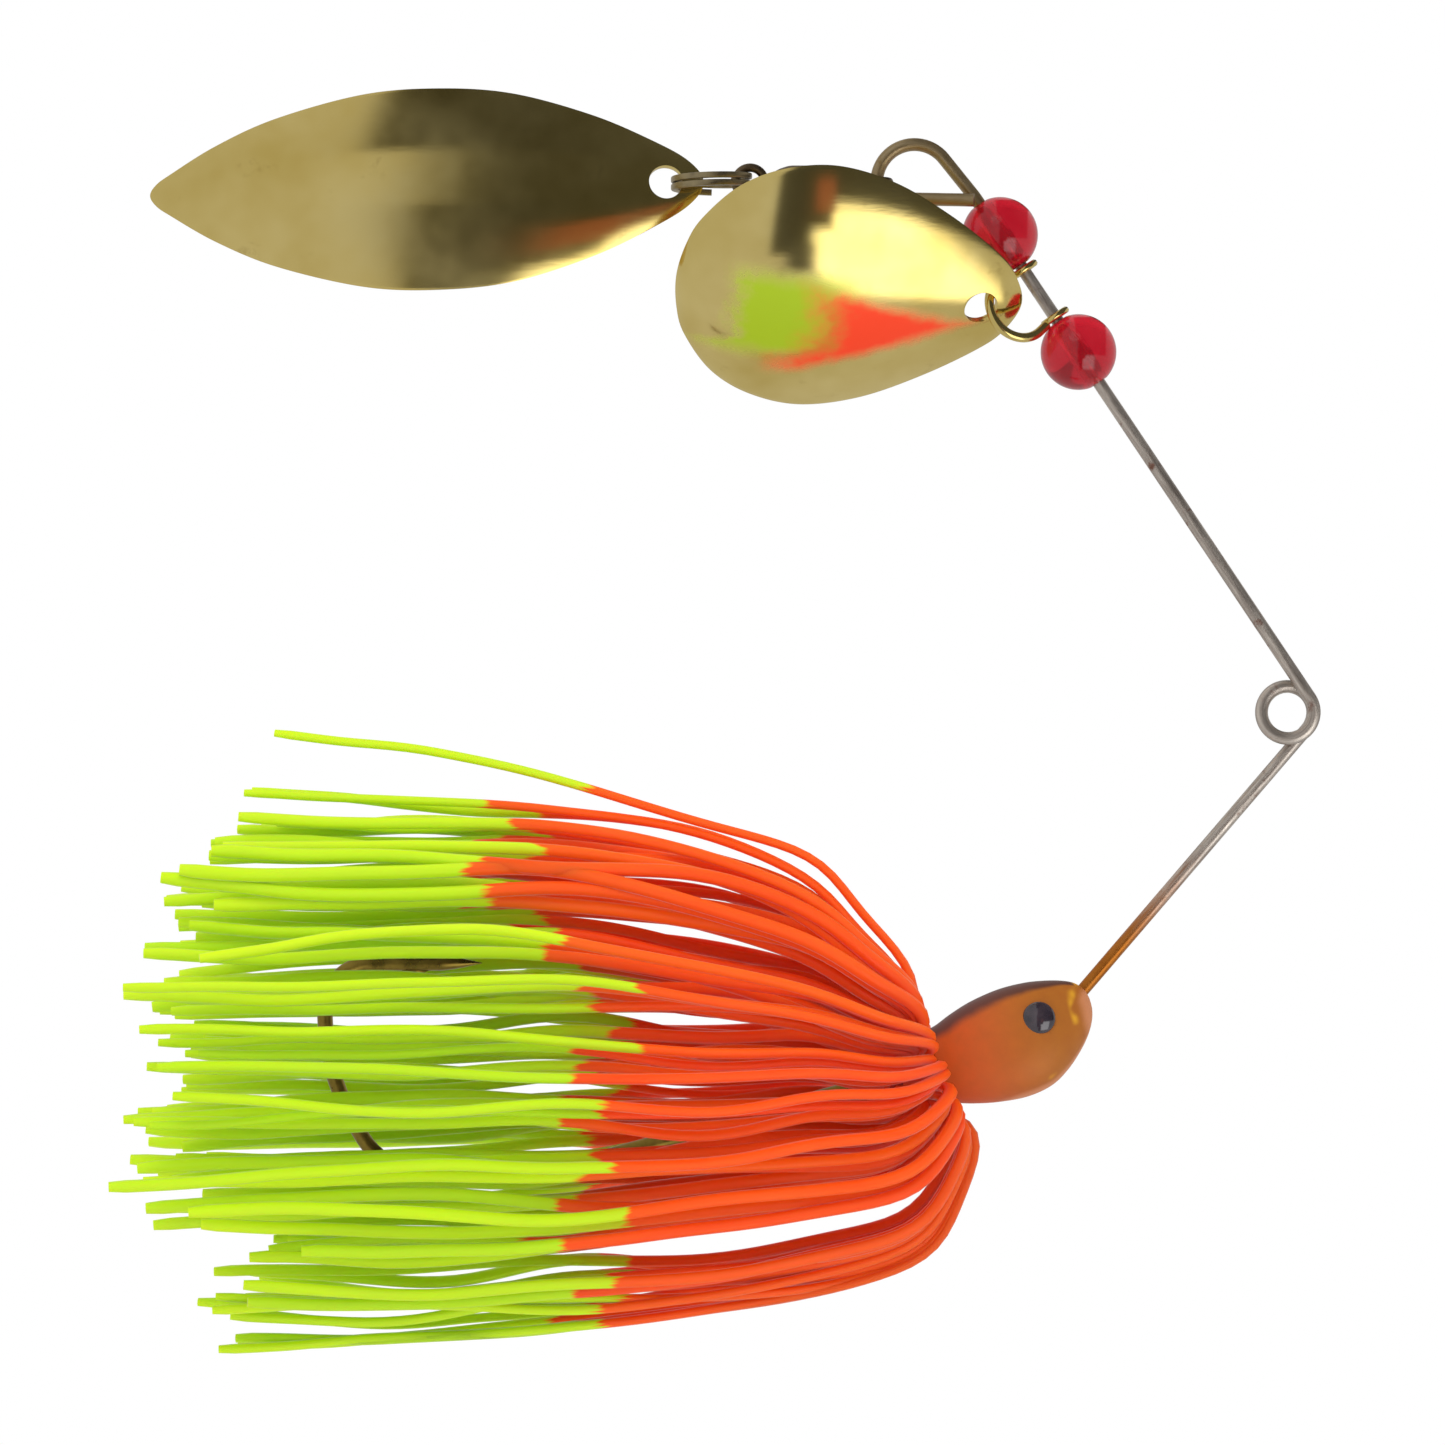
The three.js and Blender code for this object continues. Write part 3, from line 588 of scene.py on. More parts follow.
# Silicone dyed orange at the collar and chartreuse at the tips. "dye" is how far a point lies past the
# strand's own colour change, in millimetres.
def skirt_silicone():
    made = Finish(
        "Skirt silicone", Subsurface_Weight=0.35, Subsurface_Scale=0.0012, Specular_IOR_Level=0.35
    )
    made.shader.inputs["Subsurface Radius"].default_value = (1.0, 0.5, 0.2)
    strand = made.mark("strand")
    along = made.mark("along")
    streak_at = made.node("ShaderNodeCombineXYZ", {
        "X": made.times(along, 160.0),
        "Y": made.times(made.mark("round"), 4.0),
        "Z": made.times(strand, 7.3),
    }).outputs[0]
    streaks = made.noise(1.0, 3.0, 0.6, streak_at)
    tint = made.noise(1.0, 1.0, 0.5, made.node("ShaderNodeCombineXYZ", {
        "X": made.times(strand, 3.7),
    }).outputs[0])
    ragged = made.plus(made.mark("dye"), made.times(made.minus(streaks, 0.5), 3.4))
    dyed = made.step(ragged, -0.35, 0.35)
    orange = made.mottle(tint, colour(255, 62, 0), colour(255, 96, 0))
    # Paler, greyer tint along the streaks: partly the silicone's own translucent streaking, partly a painted
    # sheen.
    orange = made.blend(made.between(streaks, 0.0, 0.22), orange, colour(255, 120, 20))
    green = made.mottle(tint, colour(180, 226, 0), colour(210, 242, 6))
    green = made.blend(made.between(streaks, 0.0, 0.22), green, colour(180, 206, 60))
    made.give("Base Color", made.blend(dyed, orange, green))
    made.give("Roughness", made.between(streaks, 0.34, 0.52))
    made.bump(streaks, 0.2, 0.00008)
    return made.material


def collar_rubber():
    made = Finish("Collar rubber", Roughness=0.5, Subsurface_Weight=0.3, Subsurface_Scale=0.001)
    cloudy = made.noise(600.0, 3.0, 0.6)
    made.give("Base Color", made.mottle(cloudy, colour(186, 24, 0), colour(232, 52, 4)))
    made.bump(cloudy, 0.2, 0.0001)
    return made.material


WIRE = spring_wire()
GOLD = gold_plate("Gold plating")
PAINTED_GOLD = gold_plate("Gold plating with airbrushed patch", paint_patch=True)
SWIVEL = tarnished("Tarnished swivel brass", colour(62, 50, 40), colour(124, 106, 78))
RING = tarnished("Worn ring plating", colour(120, 108, 84), colour(176, 160, 122))
ACRYLIC = red_acrylic()
LACQUER = head_lacquer()
EYE = eye_lacquer()
BRONZE = tarnished(
    "Bronze hook", colour(96, 82, 26), colour(168, 140, 62), (500.0, 4.0, 0.6), (0.2, 0.42), 0.12
)
SILICONE = skirt_silicone()
RUBBER = collar_rubber()


def stands_for(piece, body, slot, *nodes):
    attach(piece, body)
    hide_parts(*nodes)
    return piece


# ---- wire frame ----


def frame_wire():
    coil_turn = 360 + UPPER_ARM_ANGLE - LOWER_ARM_ANGLE
    coil_drift = -COIL_PITCH * coil_turn / 360
    start = heading_vector(LOWER_ARM_ANGLE - 90) * COIL_R
    start -= heading_vector(LOWER_ARM_ANGLE) * (LOWER_ARM_LENGTH + WIRE_IN_HEAD)
    start.y = -coil_drift / 2
    path = WireBender(start, LOWER_ARM_ANGLE)
    path.run(WIRE_IN_HEAD + LOWER_ARM_LENGTH, steps=24)
    path.bend(COIL_R, coil_turn, coil_drift)
    path.run(UPPER_ARM_LENGTH, steps=36)
    path.bend(SHOULDER_BEND_R, SHOULDER_ANGLE)
    path.run(SHOULDER_LENGTH, steps=3)
    path.bend(LOOP_R, 270 - path.heading)
    path.run(LOOP_DROP)
    path.bend(LOOP_CORNER_R, LOOP_CORNER_ANGLE, -0.2)
    path.run(LOOP_LEG, LOOP_LEG_DRIFT, steps=5)
    return round_wire("frame_wire", path.points, WIRE, WIRE_R, sides=20)


stands_for(frame_wire(), "frame", "steel_wire", "wire_frame")

# ---- beads ----

ALONG_ARM = basis(
    heading_vector(UPPER_ARM_ANGLE - 90),
    ARM.cross(heading_vector(UPPER_ARM_ANGLE - 90)),
    ARM,
)


def bead(name, centre):
    mouth = BEAD_BORE_R + BEAD_CHAMFER
    start = math.asin(mouth / BEAD_R)
    profile = [(BEAD_BORE_R, BEAD_R * math.cos(start) - BEAD_CHAMFER)]
    for step in range(33):
        angle = start + (math.pi - 2 * start) * step / 32
        profile.append((BEAD_R * math.sin(angle), BEAD_R * math.cos(angle)))
    profile.append((BEAD_BORE_R, BEAD_CHAMFER - BEAD_R * math.cos(start)))
    place = Matrix.Translation(centre) @ ALONG_ARM
    return turned(name, profile, ACRYLIC, place, segments=64, closed=True)


upper_bead_at = pivot("upper_bead_spin")
lower_bead_at = pivot("clevis_spin") * 2 - upper_bead_at
stands_for(bead("bead_below_clevis", lower_bead_at), "lower_bead_body", "red_bead", "lower_bead")
stands_for(bead("bead_above_clevis", upper_bead_at), "upper_bead_body", "red_bead", "upper_bead")

# ---- clevis ----

clevis_out = heading_vector(UPPER_ARM_ANGLE + 90) * math.cos(math.radians(CLEVIS_TURN))
clevis_out.y = -math.sin(math.radians(CLEVIS_TURN))
CLEVIS_PLACE = basis(clevis_out, ARM.cross(clevis_out), ARM, pivot("clevis_spin"))
CLEVIS_LEG = (CLEVIS_BEND_R * math.cos(math.radians(CLEVIS_FLARE)) - EAR_AT) / math.sin(
    math.radians(CLEVIS_FLARE)
)


def clevis():
    start = Vector((0, 0, -EAR_AT)) + heading_vector(-CLEVIS_FLARE) * (EAR_R - 0.15)
    path = WireBender(start, -CLEVIS_FLARE)
    path.run(CLEVIS_LEG - EAR_R + 0.15, steps=3)
    path.bend(CLEVIS_BEND_R, 180 + 2 * CLEVIS_FLARE)
    path.run(CLEVIS_LEG - EAR_R + 0.15, steps=3)
    guide = [CLEVIS_PLACE @ p for p in path.points]
    parts = [round_wire("clevis_stirrup", guide, GOLD, CLEVIS_WIRE_R, sides=20)]
    half = EAR_THICKNESS / 2
    washer = [
        (BEAD_BORE_R, half - 0.06), (BEAD_BORE_R + 0.06, half), (EAR_R - 0.12, half),
        (EAR_R, half - 0.12), (EAR_R, 0.12 - half), (EAR_R - 0.12, -half),
        (BEAD_BORE_R + 0.06, -half), (BEAD_BORE_R, 0.06 - half),
    ]
    for side in (-1, 1):
        place = CLEVIS_PLACE @ Matrix.Translation((0, 0, side * EAR_AT))
        parts.append(turned("clevis_ear", washer, GOLD, place, segments=40, closed=True))
    return join("clevis_stirrup", parts)


stands_for(clevis(), "clevis_body", "gold_plate", "clevis")

# ---- blades ----

TEARDROP = [
    (0, 0), (0.035, 0.235), (0.1, 0.41), (0.25, 0.675), (0.42, 0.9), (0.59, 1.0), (0.74, 0.94), (0.86, 0.77),
    (0.95, 0.49), (0.985, 0.27), (1, 0),
]
WILLOW_LEAF = [
    (0, 0), (0.027, 0.22), (0.095, 0.44), (0.2, 0.7), (0.34, 0.93), (0.47, 1.0), (0.61, 0.96), (0.77, 0.74),
    (0.88, 0.48), (0.965, 0.2), (0.99, 0.1), (1, 0),
]


# The half outline as many points, each a share of the length and of the half width. It meets its mirror image
# smoothly at both ends.
def half_outline(outline):
    points = [Vector((at, wide, 0)) for at, wide in outline]
    flip = Vector((1, -1, 1))
    return smooth_line(points, 0.012, points[1] * flip, points[-2] * flip)


def width_at(edge, at):
    for a, b in zip(edge, edge[1:]):
        if a.x <= at <= b.x and b.x > a.x:
            return a.y + (b.y - a.y) * (at - a.x) / (b.x - a.x)
    return 0.0


# A stamped, cupped plate. Its rim lies in the local XY plane from the hole end at the origin along +X, and it
# bulges along +Z. Rings of points run from the hole's edge out to the rim.
def blade(name, size, outline, place, finish):
    edge = half_outline(outline)
    length, half_width = size["length"], size["width"] / 2
    rim = [Vector((p.x * length, p.y * half_width)) for p in edge]
    rim += [Vector((p.x, -p.y)) for p in reversed(rim[1:-1])]
    hole = Vector((size["hole_at"], 0))

    def height(x, y):
        wide = width_at(edge, min(max(x / length, 0.0), 1.0))
        if wide < 1e-6:
            return 0.0
        across = min(abs(y) / (wide * half_width), 1.0)
        return size["cup"] * wide**1.2 * (1 - across**2)

    rings, points, faces, flat = 44, [], [], []
    for ring in range(rings + 1):
        share = (ring / rings) ** 1.25
        for out in rim:
            inner = hole + (out - hole).normalized() * BLADE_HOLE_R
            spot = inner.lerp(out, share)
            points.append((spot.x, spot.y, height(spot.x, spot.y)))
            flat.append((spot.x / length, spot.y / half_width))
    count = len(rim)
    for ring in range(rings):
        for step in range(count):
            here, after = ring * count + step, ring * count + (step + 1) % count
            faces.append((here, after, after + count, here + count))
    mesh = bpy.data.meshes.new(name)
    mesh.from_pydata([(place @ Vector(p)) * MM for p in points], [], faces)
    sheet = mesh.uv_layers.new(name="blade")
    for loop in mesh.loops:
        sheet.data[loop.index].uv = flat[loop.vertex_index]
    mesh.materials.append(finish)
    up = place.to_3x3() @ Vector((0, 0, 1))
    if mesh.polygons[len(faces) // 2].normal.dot(up) < 0:
        mesh.flip_normals()
    mesh.shade_smooth()
    piece = link(name, mesh)
    wall = piece.modifiers.new("Plate", "SOLIDIFY")
    wall.thickness = BLADE_THICKNESS * MM
    wall.offset = -1
    wall.use_even_offset = False
    bevel = piece.modifiers.new("Rim", "BEVEL")
    bevel.width = 0.11 * MM
    bevel.segments = 2
    bevel.limit_method = "ANGLE"
    bevel.angle_limit = math.radians(50)
    return settle(piece)


def height_at_hole(size, outline):
    edge = half_outline(outline)
    return size["cup"] * width_at(edge, size["hole_at"] / size["length"]) ** 1.2 - BLADE_THICKNESS / 2


def blade_basis(heading, lean, tilt):
    along = heading_vector(heading) * math.cos(math.radians(lean))
    along.y = -math.sin(math.radians(lean))
    level = Vector((0, -1, 0)).cross(along).normalized()
    across = Matrix.Rotation(math.radians(tilt), 3, along) @ level
    return along, across, along.cross(across)


def blade_place(size, outline, axes, hole):
    turn = basis(*axes)
    local = turn @ Vector((size["hole_at"], 0, height_at_hole(size, outline)))
    return basis(*axes, hole - local)


STRIP_CORNER = math.hypot(RING_RADIAL, RING_HEIGHT + RING_PITCH) / 2
front_axes = blade_basis(FRONT_BLADE_HEADING, FRONT_BLADE_LEAN, FRONT_BLADE_TILT)
front_hole = pivot("front_blade_swing") + front_axes[0] * (BLADE_HOLE_R - CLEVIS_WIRE_R - 0.2)
front_place = blade_place(FRONT_BLADE, TEARDROP, front_axes, front_hole)
stands_for(
    blade("teardrop_blade", FRONT_BLADE, TEARDROP, front_place, PAINTED_GOLD),
    "front_blade_body", "gold_plate", "front_blade",
)

ring_centre = pivot("ring_swing") - Vector((RING_R, 0, 0))
rear_axes = blade_basis(REAR_BLADE_HEADING, 0, REAR_BLADE_TILT)
rear_hole = ring_centre - Vector((RING_R, 0, 0)) + rear_axes[0] * (BLADE_HOLE_R - STRIP_CORNER - RING_GAP)
rear_place = blade_place(REAR_BLADE, WILLOW_LEAF, rear_axes, rear_hole)
stands_for(
    blade("willow_blade", REAR_BLADE, WILLOW_LEAF, rear_place, GOLD),
    "rear_blade_body", "gold_plate", "rear_blade",
)

# ---- swivel and split ring ----

barrel_at = pivot("barrel_spin")
EYE_OFFSET = BARREL_LENGTH / 2 + EYE_TO_BARREL + EYE_WIRE_R + EYE_R


# A swivel eye: a ring of wire, a neck and the headed stem that turns in the barrel. The stem points along
# `side` in X.
def swivel_eye(name, side, lying):
    centre = barrel_at - Vector((side * EYE_OFFSET, 0, 0))
    loop = []
    for step in range(40):
        angle = 2 * math.pi * step / 40
        across = Vector((0, math.sin(angle), 0)) if lying else Vector((0, 0, math.sin(angle)))
        loop.append(centre + (Vector((math.cos(angle), 0, 0)) + across) * EYE_R)
    ring = round_wire(name, loop, SWIVEL, EYE_WIRE_R, sides=18, closed=True)
    neck_end = EYE_R + EYE_WIRE_R + EYE_TO_BARREL + STEM_LENGTH
    place = basis(Vector((0, 1, 0)), Vector((0, 0, side)), Vector((side, 0, 0)), centre)
    stem = [
        (0, EYE_R - 0.1), (EYE_WIRE_R + 0.04, EYE_R), (EYE_WIRE_R + 0.05, EYE_R + EYE_WIRE_R),
        (EYE_WIRE_R, EYE_R + EYE_WIRE_R + 0.2), (EYE_WIRE_R, neck_end), (STEM_HEAD_R, neck_end + 0.05),
        (STEM_HEAD_R, neck_end + 0.4), (0.3, neck_end + 0.5), (0, neck_end + 0.5),
    ]
    return join(name, [ring, turned(f"{name}_stem", stem, SWIVEL, place, segments=28)])


def barrel():
    half = BARREL_LENGTH / 2
    outside = [
        (0.44, half), (0.62, half), (0.74, half - 0.05), (0.84, half - 0.22), (BARREL_R - 0.22, half - 0.4),
        (BARREL_R - 0.1, half - 0.75), (BARREL_R - 0.03, half - 1.0), (BARREL_R, half - 1.25),
    ]
    outside += [(radius, -height) for radius, height in reversed(outside)]
    inside = [(0.44, 0.6 - half), (0.8, 0.9 - half), (0.8, half - 0.9), (0.44, half - 0.6)]
    place = basis(Vector((0, 1, 0)), Vector((0, 0, 1)), Vector((1, 0, 0)), barrel_at)
    return turned("swivel_body", outside + inside, SWIVEL, place, closed=True)


stands_for(swivel_eye("swivel_eye_on_loop", -1, True), "front_eye_body", "swivel_metal", "swivel_front_eye")
stands_for(barrel(), "barrel_body", "swivel_metal", "swivel_barrel")
stands_for(swivel_eye("swivel_eye_on_ring", 1, False), "rear_eye_body", "swivel_metal", "swivel_rear_eye")


def split_ring():
    guide = []
    for step in range(153):
        share = step / 152
        angle = math.pi / 2 + 2 * math.pi * RING_TURNS * share
        rise = RING_PITCH * RING_TURNS * (share - 0.5)
        guide.append(ring_centre + Vector((RING_R * math.cos(angle), RING_R * math.sin(angle), rise)))
    sizes = {"Width": RING_RADIAL * MM, "Height": RING_HEIGHT * MM, "Corner": 0.1 * MM}
    return swept("split_ring_coil", FLAT_STRIP, [guide], RING, sizes)


stands_for(split_ring(), "ring_body", "gold_plate", "split_ring")

# ---- head and eyes ----

# Sections from the rear face to the nose: distance forward, middle height, half height, half width.
HEAD_SECTIONS = [
    (0.0, 0.0, 2.5, 2.2), (0.8, -0.1, 2.78, 2.4), (2.0, -0.05, 3.2, 2.7), (3.6, 0.02, 3.6, 3.0),
    (5.6, 0.08, 3.83, 3.15), (7.4, 0.21, 3.67, 3.0), (8.8, 0.48, 3.18, 2.6), (10.0, 0.83, 2.5, 1.95),
    (10.8, 1.1, 1.85, 1.35), (11.3, 1.25, 1.15, 0.8), (11.52, 1.3, 0.5, 0.35), (11.56, 1.3, 0.0, 0.0),
]
HEAD_SQUARENESS = 2.7


def ramp(value, low, high):
    return min(max((value - low) / (high - low), 0.0), 1.0)


def head_casting():
    profile = smooth_line([Vector((x, z, high)) for x, z, high, wide in HEAD_SECTIONS], 0.16)
    widths = smooth_line([Vector((x, wide, 0)) for x, z, high, wide in HEAD_SECTIONS], 0.05)
    rings = [(0.0, 0.0, 0.02, 0.02), (0.0, 0.0, 2.3, 2.0)]
    for p in profile:
        wide = min(widths, key=lambda q: abs(q.x - p.x)).y
        rings.append((p.x + 0.12 * (p.x == 0), p.y, max(p.z, 0.02), max(wide, 0.02)))
    sides, points, faces = 72, [], []
    marks = {"forward": [], "back": [], "rim": []}
    for x, z, high, wide in rings:
        for side in range(sides):
            across = math.cos(2 * math.pi * side / sides)
            rise = math.sin(2 * math.pi * side / sides)
            y = wide * math.copysign(abs(across) ** (2 / HEAD_SQUARENESS), across)
            up = high * math.copysign(abs(rise) ** (2 / 2.2), rise)
            points.append((x, y, z + up))
            share = x / 11.5
            marks["forward"].append(share)
            marks["back"].append(ramp(rise, 0.35 + 0.5 * share, 0.95) if share < 0.93 else 0.0)
            under = ramp(-rise, 0.72, 1.0) * ramp(share, 0.15, 0.45)
            marks["rim"].append(max(under, ramp(share, 0.84, 1.0) * ramp(-up, -2.6, -0.6)))
    for ring in range(len(rings) - 1):
        for side in range(sides):
            here, after = ring * sides + side, ring * sides + (side + 1) % sides
            faces.append((here, after, after + sides, here + sides))
    faces.append(tuple(range(sides)))
    faces.append(tuple(reversed(range(len(points) - sides, len(points)))))
    casting = mesh_piece("head_casting", points, faces, LACQUER, TO_HEAD, marks=marks)
    outline = [
        (0, -NECK_LENGTH), (NECK_R - 0.2, -NECK_LENGTH), (NECK_R + 0.35, 0.5 - NECK_LENGTH),
        (NECK_R, 1.1 - NECK_LENGTH), (NECK_R, 0.4), (0, 0.4),
    ]
    place = TO_HEAD @ basis(Vector((0, 1, 0)), Vector((0, 0, 1)), Vector((1, 0, 0)))
    return join("head_casting", [casting, turned("head_neck", outline, LACQUER, place, segments=40)])


stands_for(head_casting(), "frame", "head_paint", "head")

EYE_AT = Vector((7.7, 0, 1.4))
EYE_SEAT = 2.3
EYE_BALL_R = 1.15
EYE_BALL_BULGE = 0.55


def eye_dome(name, side):
    profile = [(0, 0.1), (EYE_BALL_R - 0.04, 0.1), (EYE_BALL_R, 0.16), (EYE_BALL_R, 0.42)]
    for step in range(1, 13):
        angle = math.pi / 2 * step / 12
        profile.append((EYE_BALL_R * math.cos(angle), 0.42 + (EYE_BALL_BULGE + 0.03) * math.sin(angle)))
    outward = Vector((0, side, 0))
    place = basis(FORWARD * side, HEAD_UP, outward, TO_HEAD @ (EYE_AT + outward * EYE_SEAT))
    return turned(name, profile, EYE, place)


stands_for(eye_dome("eye_near", -1), "frame", "eye", "eye_right")
stands_for(eye_dome("eye_far", 1), "frame", "eye", "eye_left")

# ---- hook ----


def hook_with_barb():
    shank_end = TO_HEAD @ Vector((HOOK_SHANK_DEPTH - NECK_LENGTH, 0, 0))
    path = WireBender(shank_end, 180 + HEAD_TILT)
    path.run(21.6, steps=12)
    path.bend(20, -13.5)
    path.run(7.6, steps=5)
    path.bend(5.0, -58)
    path.bend(16.0, -34)
    path.bend(3.3, -90)
    path.run(4.6, steps=5)
    thickness = [1.0] * len(path.points)
    taper = 10
    path.run(3.0, steps=taper)
    thickness += [max(0.04, 1 - (step / taper) ** 1.5) for step in range(1, taper + 1)]
    wire = round_wire("hook_wire", path.points, BRONZE, HOOK_R, sides=20, thickness=thickness)
    along = heading_vector(path.heading)
    inward = heading_vector(path.heading - 90)
    root = path.points[-1] - along * 3.4
    barb = [root + inward * 0.4, root - along * 1.5 + inward * 1.05, root - along * 2.4 + inward * 0.3]
    points = [p + Vector((0, y, 0)) for y in (-0.17, 0.17) for p in barb]
    faces = [(0, 1, 2), (5, 4, 3), (0, 3, 4, 1), (1, 4, 5, 2), (2, 5, 3, 0)]
    return join("hook_wire", [wire, mesh_piece("hook_barb", points, faces, BRONZE)])


stands_for(hook_with_barb(), "frame", "bronze_hook", "hook")

# ---- collar and skirt ----

collar_place = TO_HEAD @ basis(
    Vector((0, 1, 0)), Vector((0, 0, 1)), Vector((1, 0, 0)), (-COLLAR_GAP - COLLAR_LENGTH / 2, 0, 0)
)


def collar():
    half = COLLAR_LENGTH / 2
    profile = [(NECK_R + 0.1, half), (COLLAR_R - 0.35, half), (COLLAR_R - 0.1, half - 0.12)]
    for step in range(17):
        height = (half - 0.35) * (1 - step / 8)
        profile.append((COLLAR_R - 0.08 * (step % 2), height))
    profile += [(COLLAR_R - 0.1, 0.12 - half), (COLLAR_R - 0.35, -half), (NECK_R + 0.1, -half)]
    return turned("skirt_band", profile, RUBBER, collar_place, closed=True)


stands_for(collar(), "frame", "skirt_silicone", "skirt_collar")

# The skirt falls in bundles with gaps between them. A bundle is its tip, X and Z, its heights at each
# station, how far it spreads up and down, where its colour changes, and how many strands it has.
STATIONS = (-60, -50, -40, -32)
BUNDLES = [
    ((-69.9, -1.4), (-2.8, -4.8, -7.7, -10.2), 0.1, -48.7, 1),
    ((-71.8, -5.5), (-6.3, -6.9, -8.5, -12.2), 0.15, -53.0, 2),
    ((-71.8, -7.4), (-7.6, -7.9, -9.9, -13.1), 0.3, -51.5, 3),
    ((-74.6, -9.1), (-9.2, -9.8, -11.2, -14.1), 0.75, -53.5, 11),
    ((-76.3, -12.2), (-12.2, -12.4, -13.7, -16.2), 1.15, -55.0, 15),
    ((-77.0, -15.6), (-15.4, -15.7, -17.6, -19.0), 1.0, -51.5, 14),
    ((-78.6, -19.2), (-18.9, -18.9, -19.6, -20.8), 1.1, -46.5, 15),
    ((-77.0, -23.0), (-23.0, -23.0, -23.4, -23.6), 1.6, -46.5, 18),
    ((-78.6, -27.6), (-27.2, -27.1, -27.4, -26.6), 1.2, -48.5, 15),
    ((-79.0, -31.0), (-30.7, -30.6, -30.3, -29.6), 1.2, -48.5, 14),
    ((-77.0, -34.1), (-34.1, -33.9, -33.1, -32.3), 1.2, -48.0, 13),
    ((-70.5, -36.6), (-36.7, -36.2, -35.0, -34.0), 0.6, -50.5, 7),
    ((-74.0, -40.2), (-40.4, -39.9, -39.4, -38.2), 1.4, -46.5, 15),
    ((-73.8, -43.5), (-43.2, -42.2, -41.0, -39.6), 0.25, -49.0, 3),
]
SKIRT_R_AT = ((-80, 19.3), (-60, 18.2), (-46, 17.3), (-34, 15.2), (-30, 13.0))
HOOK_ROOM = 1.15


def skirt_radius(x):
    for (x0, r0), (x1, r1) in zip(SKIRT_R_AT, SKIRT_R_AT[1:]):
        if x <= x1:
            return r0 + (r1 - r0) * (x - x0) / (x1 - x0)
    return SKIRT_R_AT[-1][1]


def relaxed(points, passes):
    for _ in range(passes):
        inside = [(a + b * 2 + c) / 4 for a, b, c in zip(points, points[1:], points[2:])]
        points = [points[0], *inside, points[-1]]
    return points


# How far a bundle fans out at its tip and at each station, nearest the tip first. The far side fans out wider
# and fills the gaps behind the near side.
NEAR_FAN = (1.0, 1.3, 1.4, 1.0, 1.0)
FAR_FAN = (1.2, 2.1, 2.0, 1.0, 1.0)


# A strand's points from the collar: over its shoulder in the head's frame, then back along the stations.
# "rises" are its place in the bundle, -1 to 1, at the tip and at the last station, and "strays" how far it
# wanders from that at each.
def strand_guide(bundle, rises, strays, depth, side, tip_shift):
    (tip_x, tip_z), heights, spread, _, _ = bundle
    fan = NEAR_FAN if side < 0 else FAR_FAN
    level = []
    stations = [(tip_x + tip_shift, tip_z), *zip(STATIONS, heights)]
    for place in range(len(stations) - 1, -1, -1):
        x, z = stations[place]
        share = place / (len(stations) - 1)
        z += (rises[0] + (rises[1] - rises[0]) * share) * spread * fan[place] + strays[place] * min(spread, 1)
        reach = math.sqrt(max(skirt_radius(x) ** 2 - (z - SKIRT_AXIS_Z) ** 2, 0.6)) * SKIRT_FLATTEN
        level.append(Vector((x, side * (HOOK_ROOM + max(reach - HOOK_ROOM, 0.2) * depth), z)))
    out = Vector((0, level[0].y / SKIRT_FLATTEN, level[0].z - SKIRT_AXIS_Z))
    far, turn = out.length, math.atan2(out.y, out.z)
    share, top = min(far / 15.2, 1.0), math.cos(turn)
    shoulder = (
        (-1.4, -4.4, 0.0), (1.4 - 0.8 * top, -2.6, 0.12), (0.7 - 0.3 * top, -3.6, 0.33),
        (0.4 * top - 1.1, -5.2, 0.57), (0.5 * top - 2.9, -7.0, 0.78),
    )
    guide = []
    for outer, inner, reach in shoulder:
        along, radius = inner + (outer - inner) * share, 3.0 + (far - 3.0) * reach
        guide.append(TO_HEAD @ Vector((along, radius * math.sin(turn), radius * math.cos(turn))))
    return relaxed(smooth_line(guide + level, 1.15), 7)


def skirt():
    chance = random.Random(23)
    guides, marks, number = [], {"strand": [], "dye": [], "thickness": []}, 0
    for bundle in BUNDLES:
        count = bundle[4]
        for place in range(count):
            number += 1
            root = 0.0 if count == 1 else 2 * ((place * 0.618 + 0.13) % 1.0) - 1
            tip = 0.0 if count == 1 else 2 * (((place // 2) * 0.382 + 0.3) % 1.0) - 1
            depth = min((place // 2) / max((count - 1) // 2, 1), 1.0)
            side = -1 if place % 2 == 0 else 1
            tip_shift = chance.uniform(-1.2, 3.4) if count > 2 else 0.0
            strays = [chance.gauss(0, 0.42) for _ in range(5)]
            guide = strand_guide(bundle, (tip, root), strays, depth, side, tip_shift)
            dye_x = bundle[3] + chance.uniform(-2.8, 2.8)
            guides.append(guide)
            marks["strand"] += [float(number)] * len(guide)
            marks["dye"] += [dye_x - p.x for p in guide]
            size = chance.uniform(0.98, 1.2)
            marks["thickness"] += [size] * (len(guide) - 1) + [size * 0.8]
    sizes = {"Radius": STRAND_R * MM, "Sides": 8, "Flatness": 0.74, "Wave": 0.0022, "Seed": 5}
    return swept("skirt_strands", STRANDS, guides, SILICONE, sizes, marks=marks)


strand_nodes = [node for node in frame["nodes"] if node.startswith("skirt_strand_")]
strands = skirt()
strands.visible_glossy = False
stands_for(strands, "frame", "skirt_silicone", *strand_nodes)

# ---- floor, light and camera ----

FLOOR_Z = -0.082
FLOOR_R = 0.25
MIDDLE = Vector((-0.0391, 0.0, -0.0007))
VIEW_WIDTH = 0.1
LENS = 150
SENSOR = 36


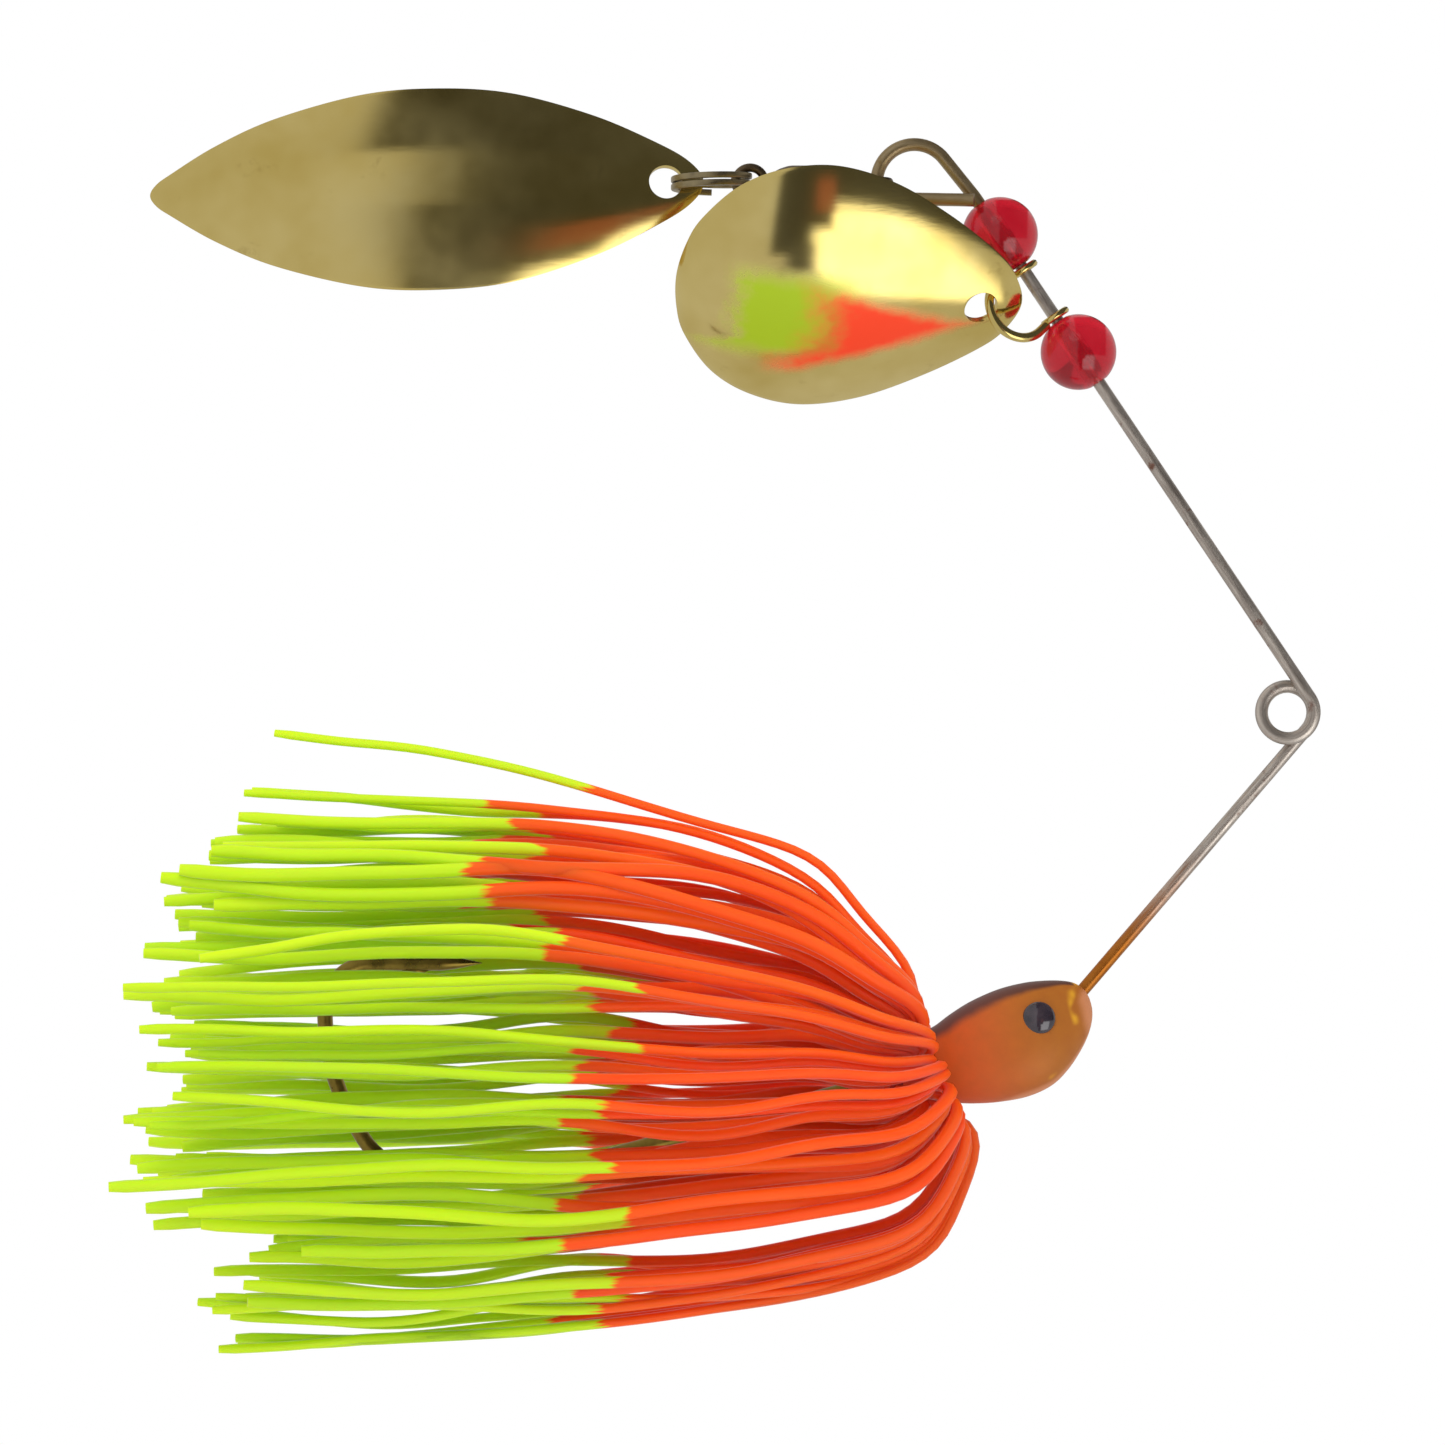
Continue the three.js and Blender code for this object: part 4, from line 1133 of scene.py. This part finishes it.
def floor():
    mesh = bpy.data.meshes.new("floor")
    build = bmesh.new()
    bmesh.ops.create_circle(build, cap_ends=True, segments=96, radius=FLOOR_R)
    build.to_mesh(mesh)
    build.free()
    piece = link("floor", mesh)
    mesh.transform(Matrix.Translation((MIDDLE.x, 0, FLOOR_Z)))
    made = Finish("Pale floor", Roughness=0.9)
    grain = made.noise(180.0, 3.0, 0.5)
    made.give("Base Color", made.blend(grain, (0.9, 0.9, 0.9, 1), (0.94, 0.94, 0.93, 1)))
    ends = {0: made.object, 1: (MIDDLE.x, 0, FLOOR_Z)}
    reach = made.node("ShaderNodeVectorMath", ends, operation="DISTANCE").outputs["Value"]
    made.give("Alpha", made.step(reach, FLOOR_R * 0.96, FLOOR_R * 0.45))
    mesh.materials.append(made.material)
    piece.visible_glossy = False


# White all round for the matt finishes. What the plating reflects is a studio of cards, each placed by the
# slope, to the right and up, of a polished face that would mirror it towards the viewer.
def studio():
    world = bpy.data.worlds.new("Studio")
    world.use_nodes = True
    bpy.context.scene.world = world
    tree = world.node_tree
    tree.nodes.clear()

    def node(kind, inputs=None, **settings):
        return add_node(tree, kind, inputs, **settings)

    direction = node("ShaderNodeTexCoord").outputs["Generated"]
    halfway = node("ShaderNodeVectorMath", {0: direction, 1: (0, 1, 0)}, operation="SUBTRACT").outputs[0]
    face = node("ShaderNodeVectorMath", {0: halfway}, operation="NORMALIZE").outputs[0]
    slopes = node("ShaderNodeSeparateXYZ", {"Vector": face})

    def edge(value, low, high):
        given = {"Value": value, "From Min": low, "From Max": high}
        return node("ShaderNodeMapRange", given, interpolation_type="SMOOTHSTEP").outputs[0]

    def card(left, right, bottom, top, soft, under, level):
        share = edge(slopes.outputs[0], left - soft, left + soft)
        limits = (
            (slopes.outputs[0], right + soft, right - soft),
            (slopes.outputs[2], bottom - soft, bottom + soft),
            (slopes.outputs[2], top + soft, top - soft),
        )
        for value, low, high in limits:
            both = {0: share, 1: edge(value, low, high)}
            share = node("ShaderNodeMath", both, operation="MULTIPLY").outputs[0]
        mixed = node("ShaderNodeMix", {0: share, 6: under, 7: level}, data_type="RGBA")
        return mixed.outputs[2]

    light = card(-2, 2, -2, 2, 0.5, (0.5, 0.5, 0.5, 1), (0.58, 0.58, 0.58, 1))
    for left, right, bottom, top, soft, level in CARDS:
        light = card(left, right, bottom, top, soft, light, level)
    cards = node("ShaderNodeBackground", {"Color": light, "Strength": 1.0})
    white = node("ShaderNodeBackground", {"Color": (1, 1, 1, 1), "Strength": 1.0})
    glossy = node("ShaderNodeLightPath").outputs["Is Glossy Ray"]
    both = node("ShaderNodeMixShader", {0: glossy, 1: white.outputs[0], 2: cards.outputs[0]})
    tree.links.new(both.outputs[0], node("ShaderNodeOutputWorld").inputs["Surface"])


# Left, right, bottom and top slopes, edge softness and light of each card.
CARDS = (
    (0.085, 0.4, -0.47, -0.12, 0.04, (2.3, 2.3, 2.3, 1)),
    (-0.03, 0.7, -0.1, 0.9, 0.02, (0.07, 0.07, 0.07, 1)),
    (-0.045, 0.07, -0.3, 0.1, 0.015, (0.06, 0.06, 0.06, 1)),
    (-0.087, 0.1, 0.36, 0.9, 0.012, (0.06, 0.06, 0.06, 1)),
    (0.0, 0.08, -0.5, -0.26, 0.02, (0.08, 0.08, 0.08, 1)),
    (0.05, 0.15, -0.2, 0.0, 0.02, (0.08, 0.07, 0.06, 1)),
    (0.085, 0.16, -0.14, -0.03, 0.02, (0.34, 0.13, 0.1, 1)),
)


def softbox(name, place, size, power):
    lamp = bpy.data.lights.new(name, "AREA")
    lamp.shape = "DISK"
    lamp.size = size
    lamp.energy = power
    box = link(name, lamp)
    box.location = place
    box.rotation_mode = "QUATERNION"
    box.rotation_quaternion = (MIDDLE - Vector(place)).to_track_quat("-Z", "Y")
    box.visible_glossy = False


def camera():
    lens = bpy.data.cameras.new("camera")
    lens.lens = LENS
    lens.sensor_width = SENSOR
    distance = VIEW_WIDTH / 2 / (SENSOR / 2 / LENS)
    lens.clip_start, lens.clip_end = 0.01, 10
    viewer = link("camera", lens)
    viewer.location = MIDDLE + Vector((0, -distance, 0))
    viewer.rotation_euler = (math.pi / 2, 0, 0)
    bpy.context.scene.camera = viewer


floor()
studio()
softbox("key", (-0.12, -0.3, 0.34), 0.24, 0.5)
camera()
bpy.context.scene.view_settings.view_transform = "Standard"
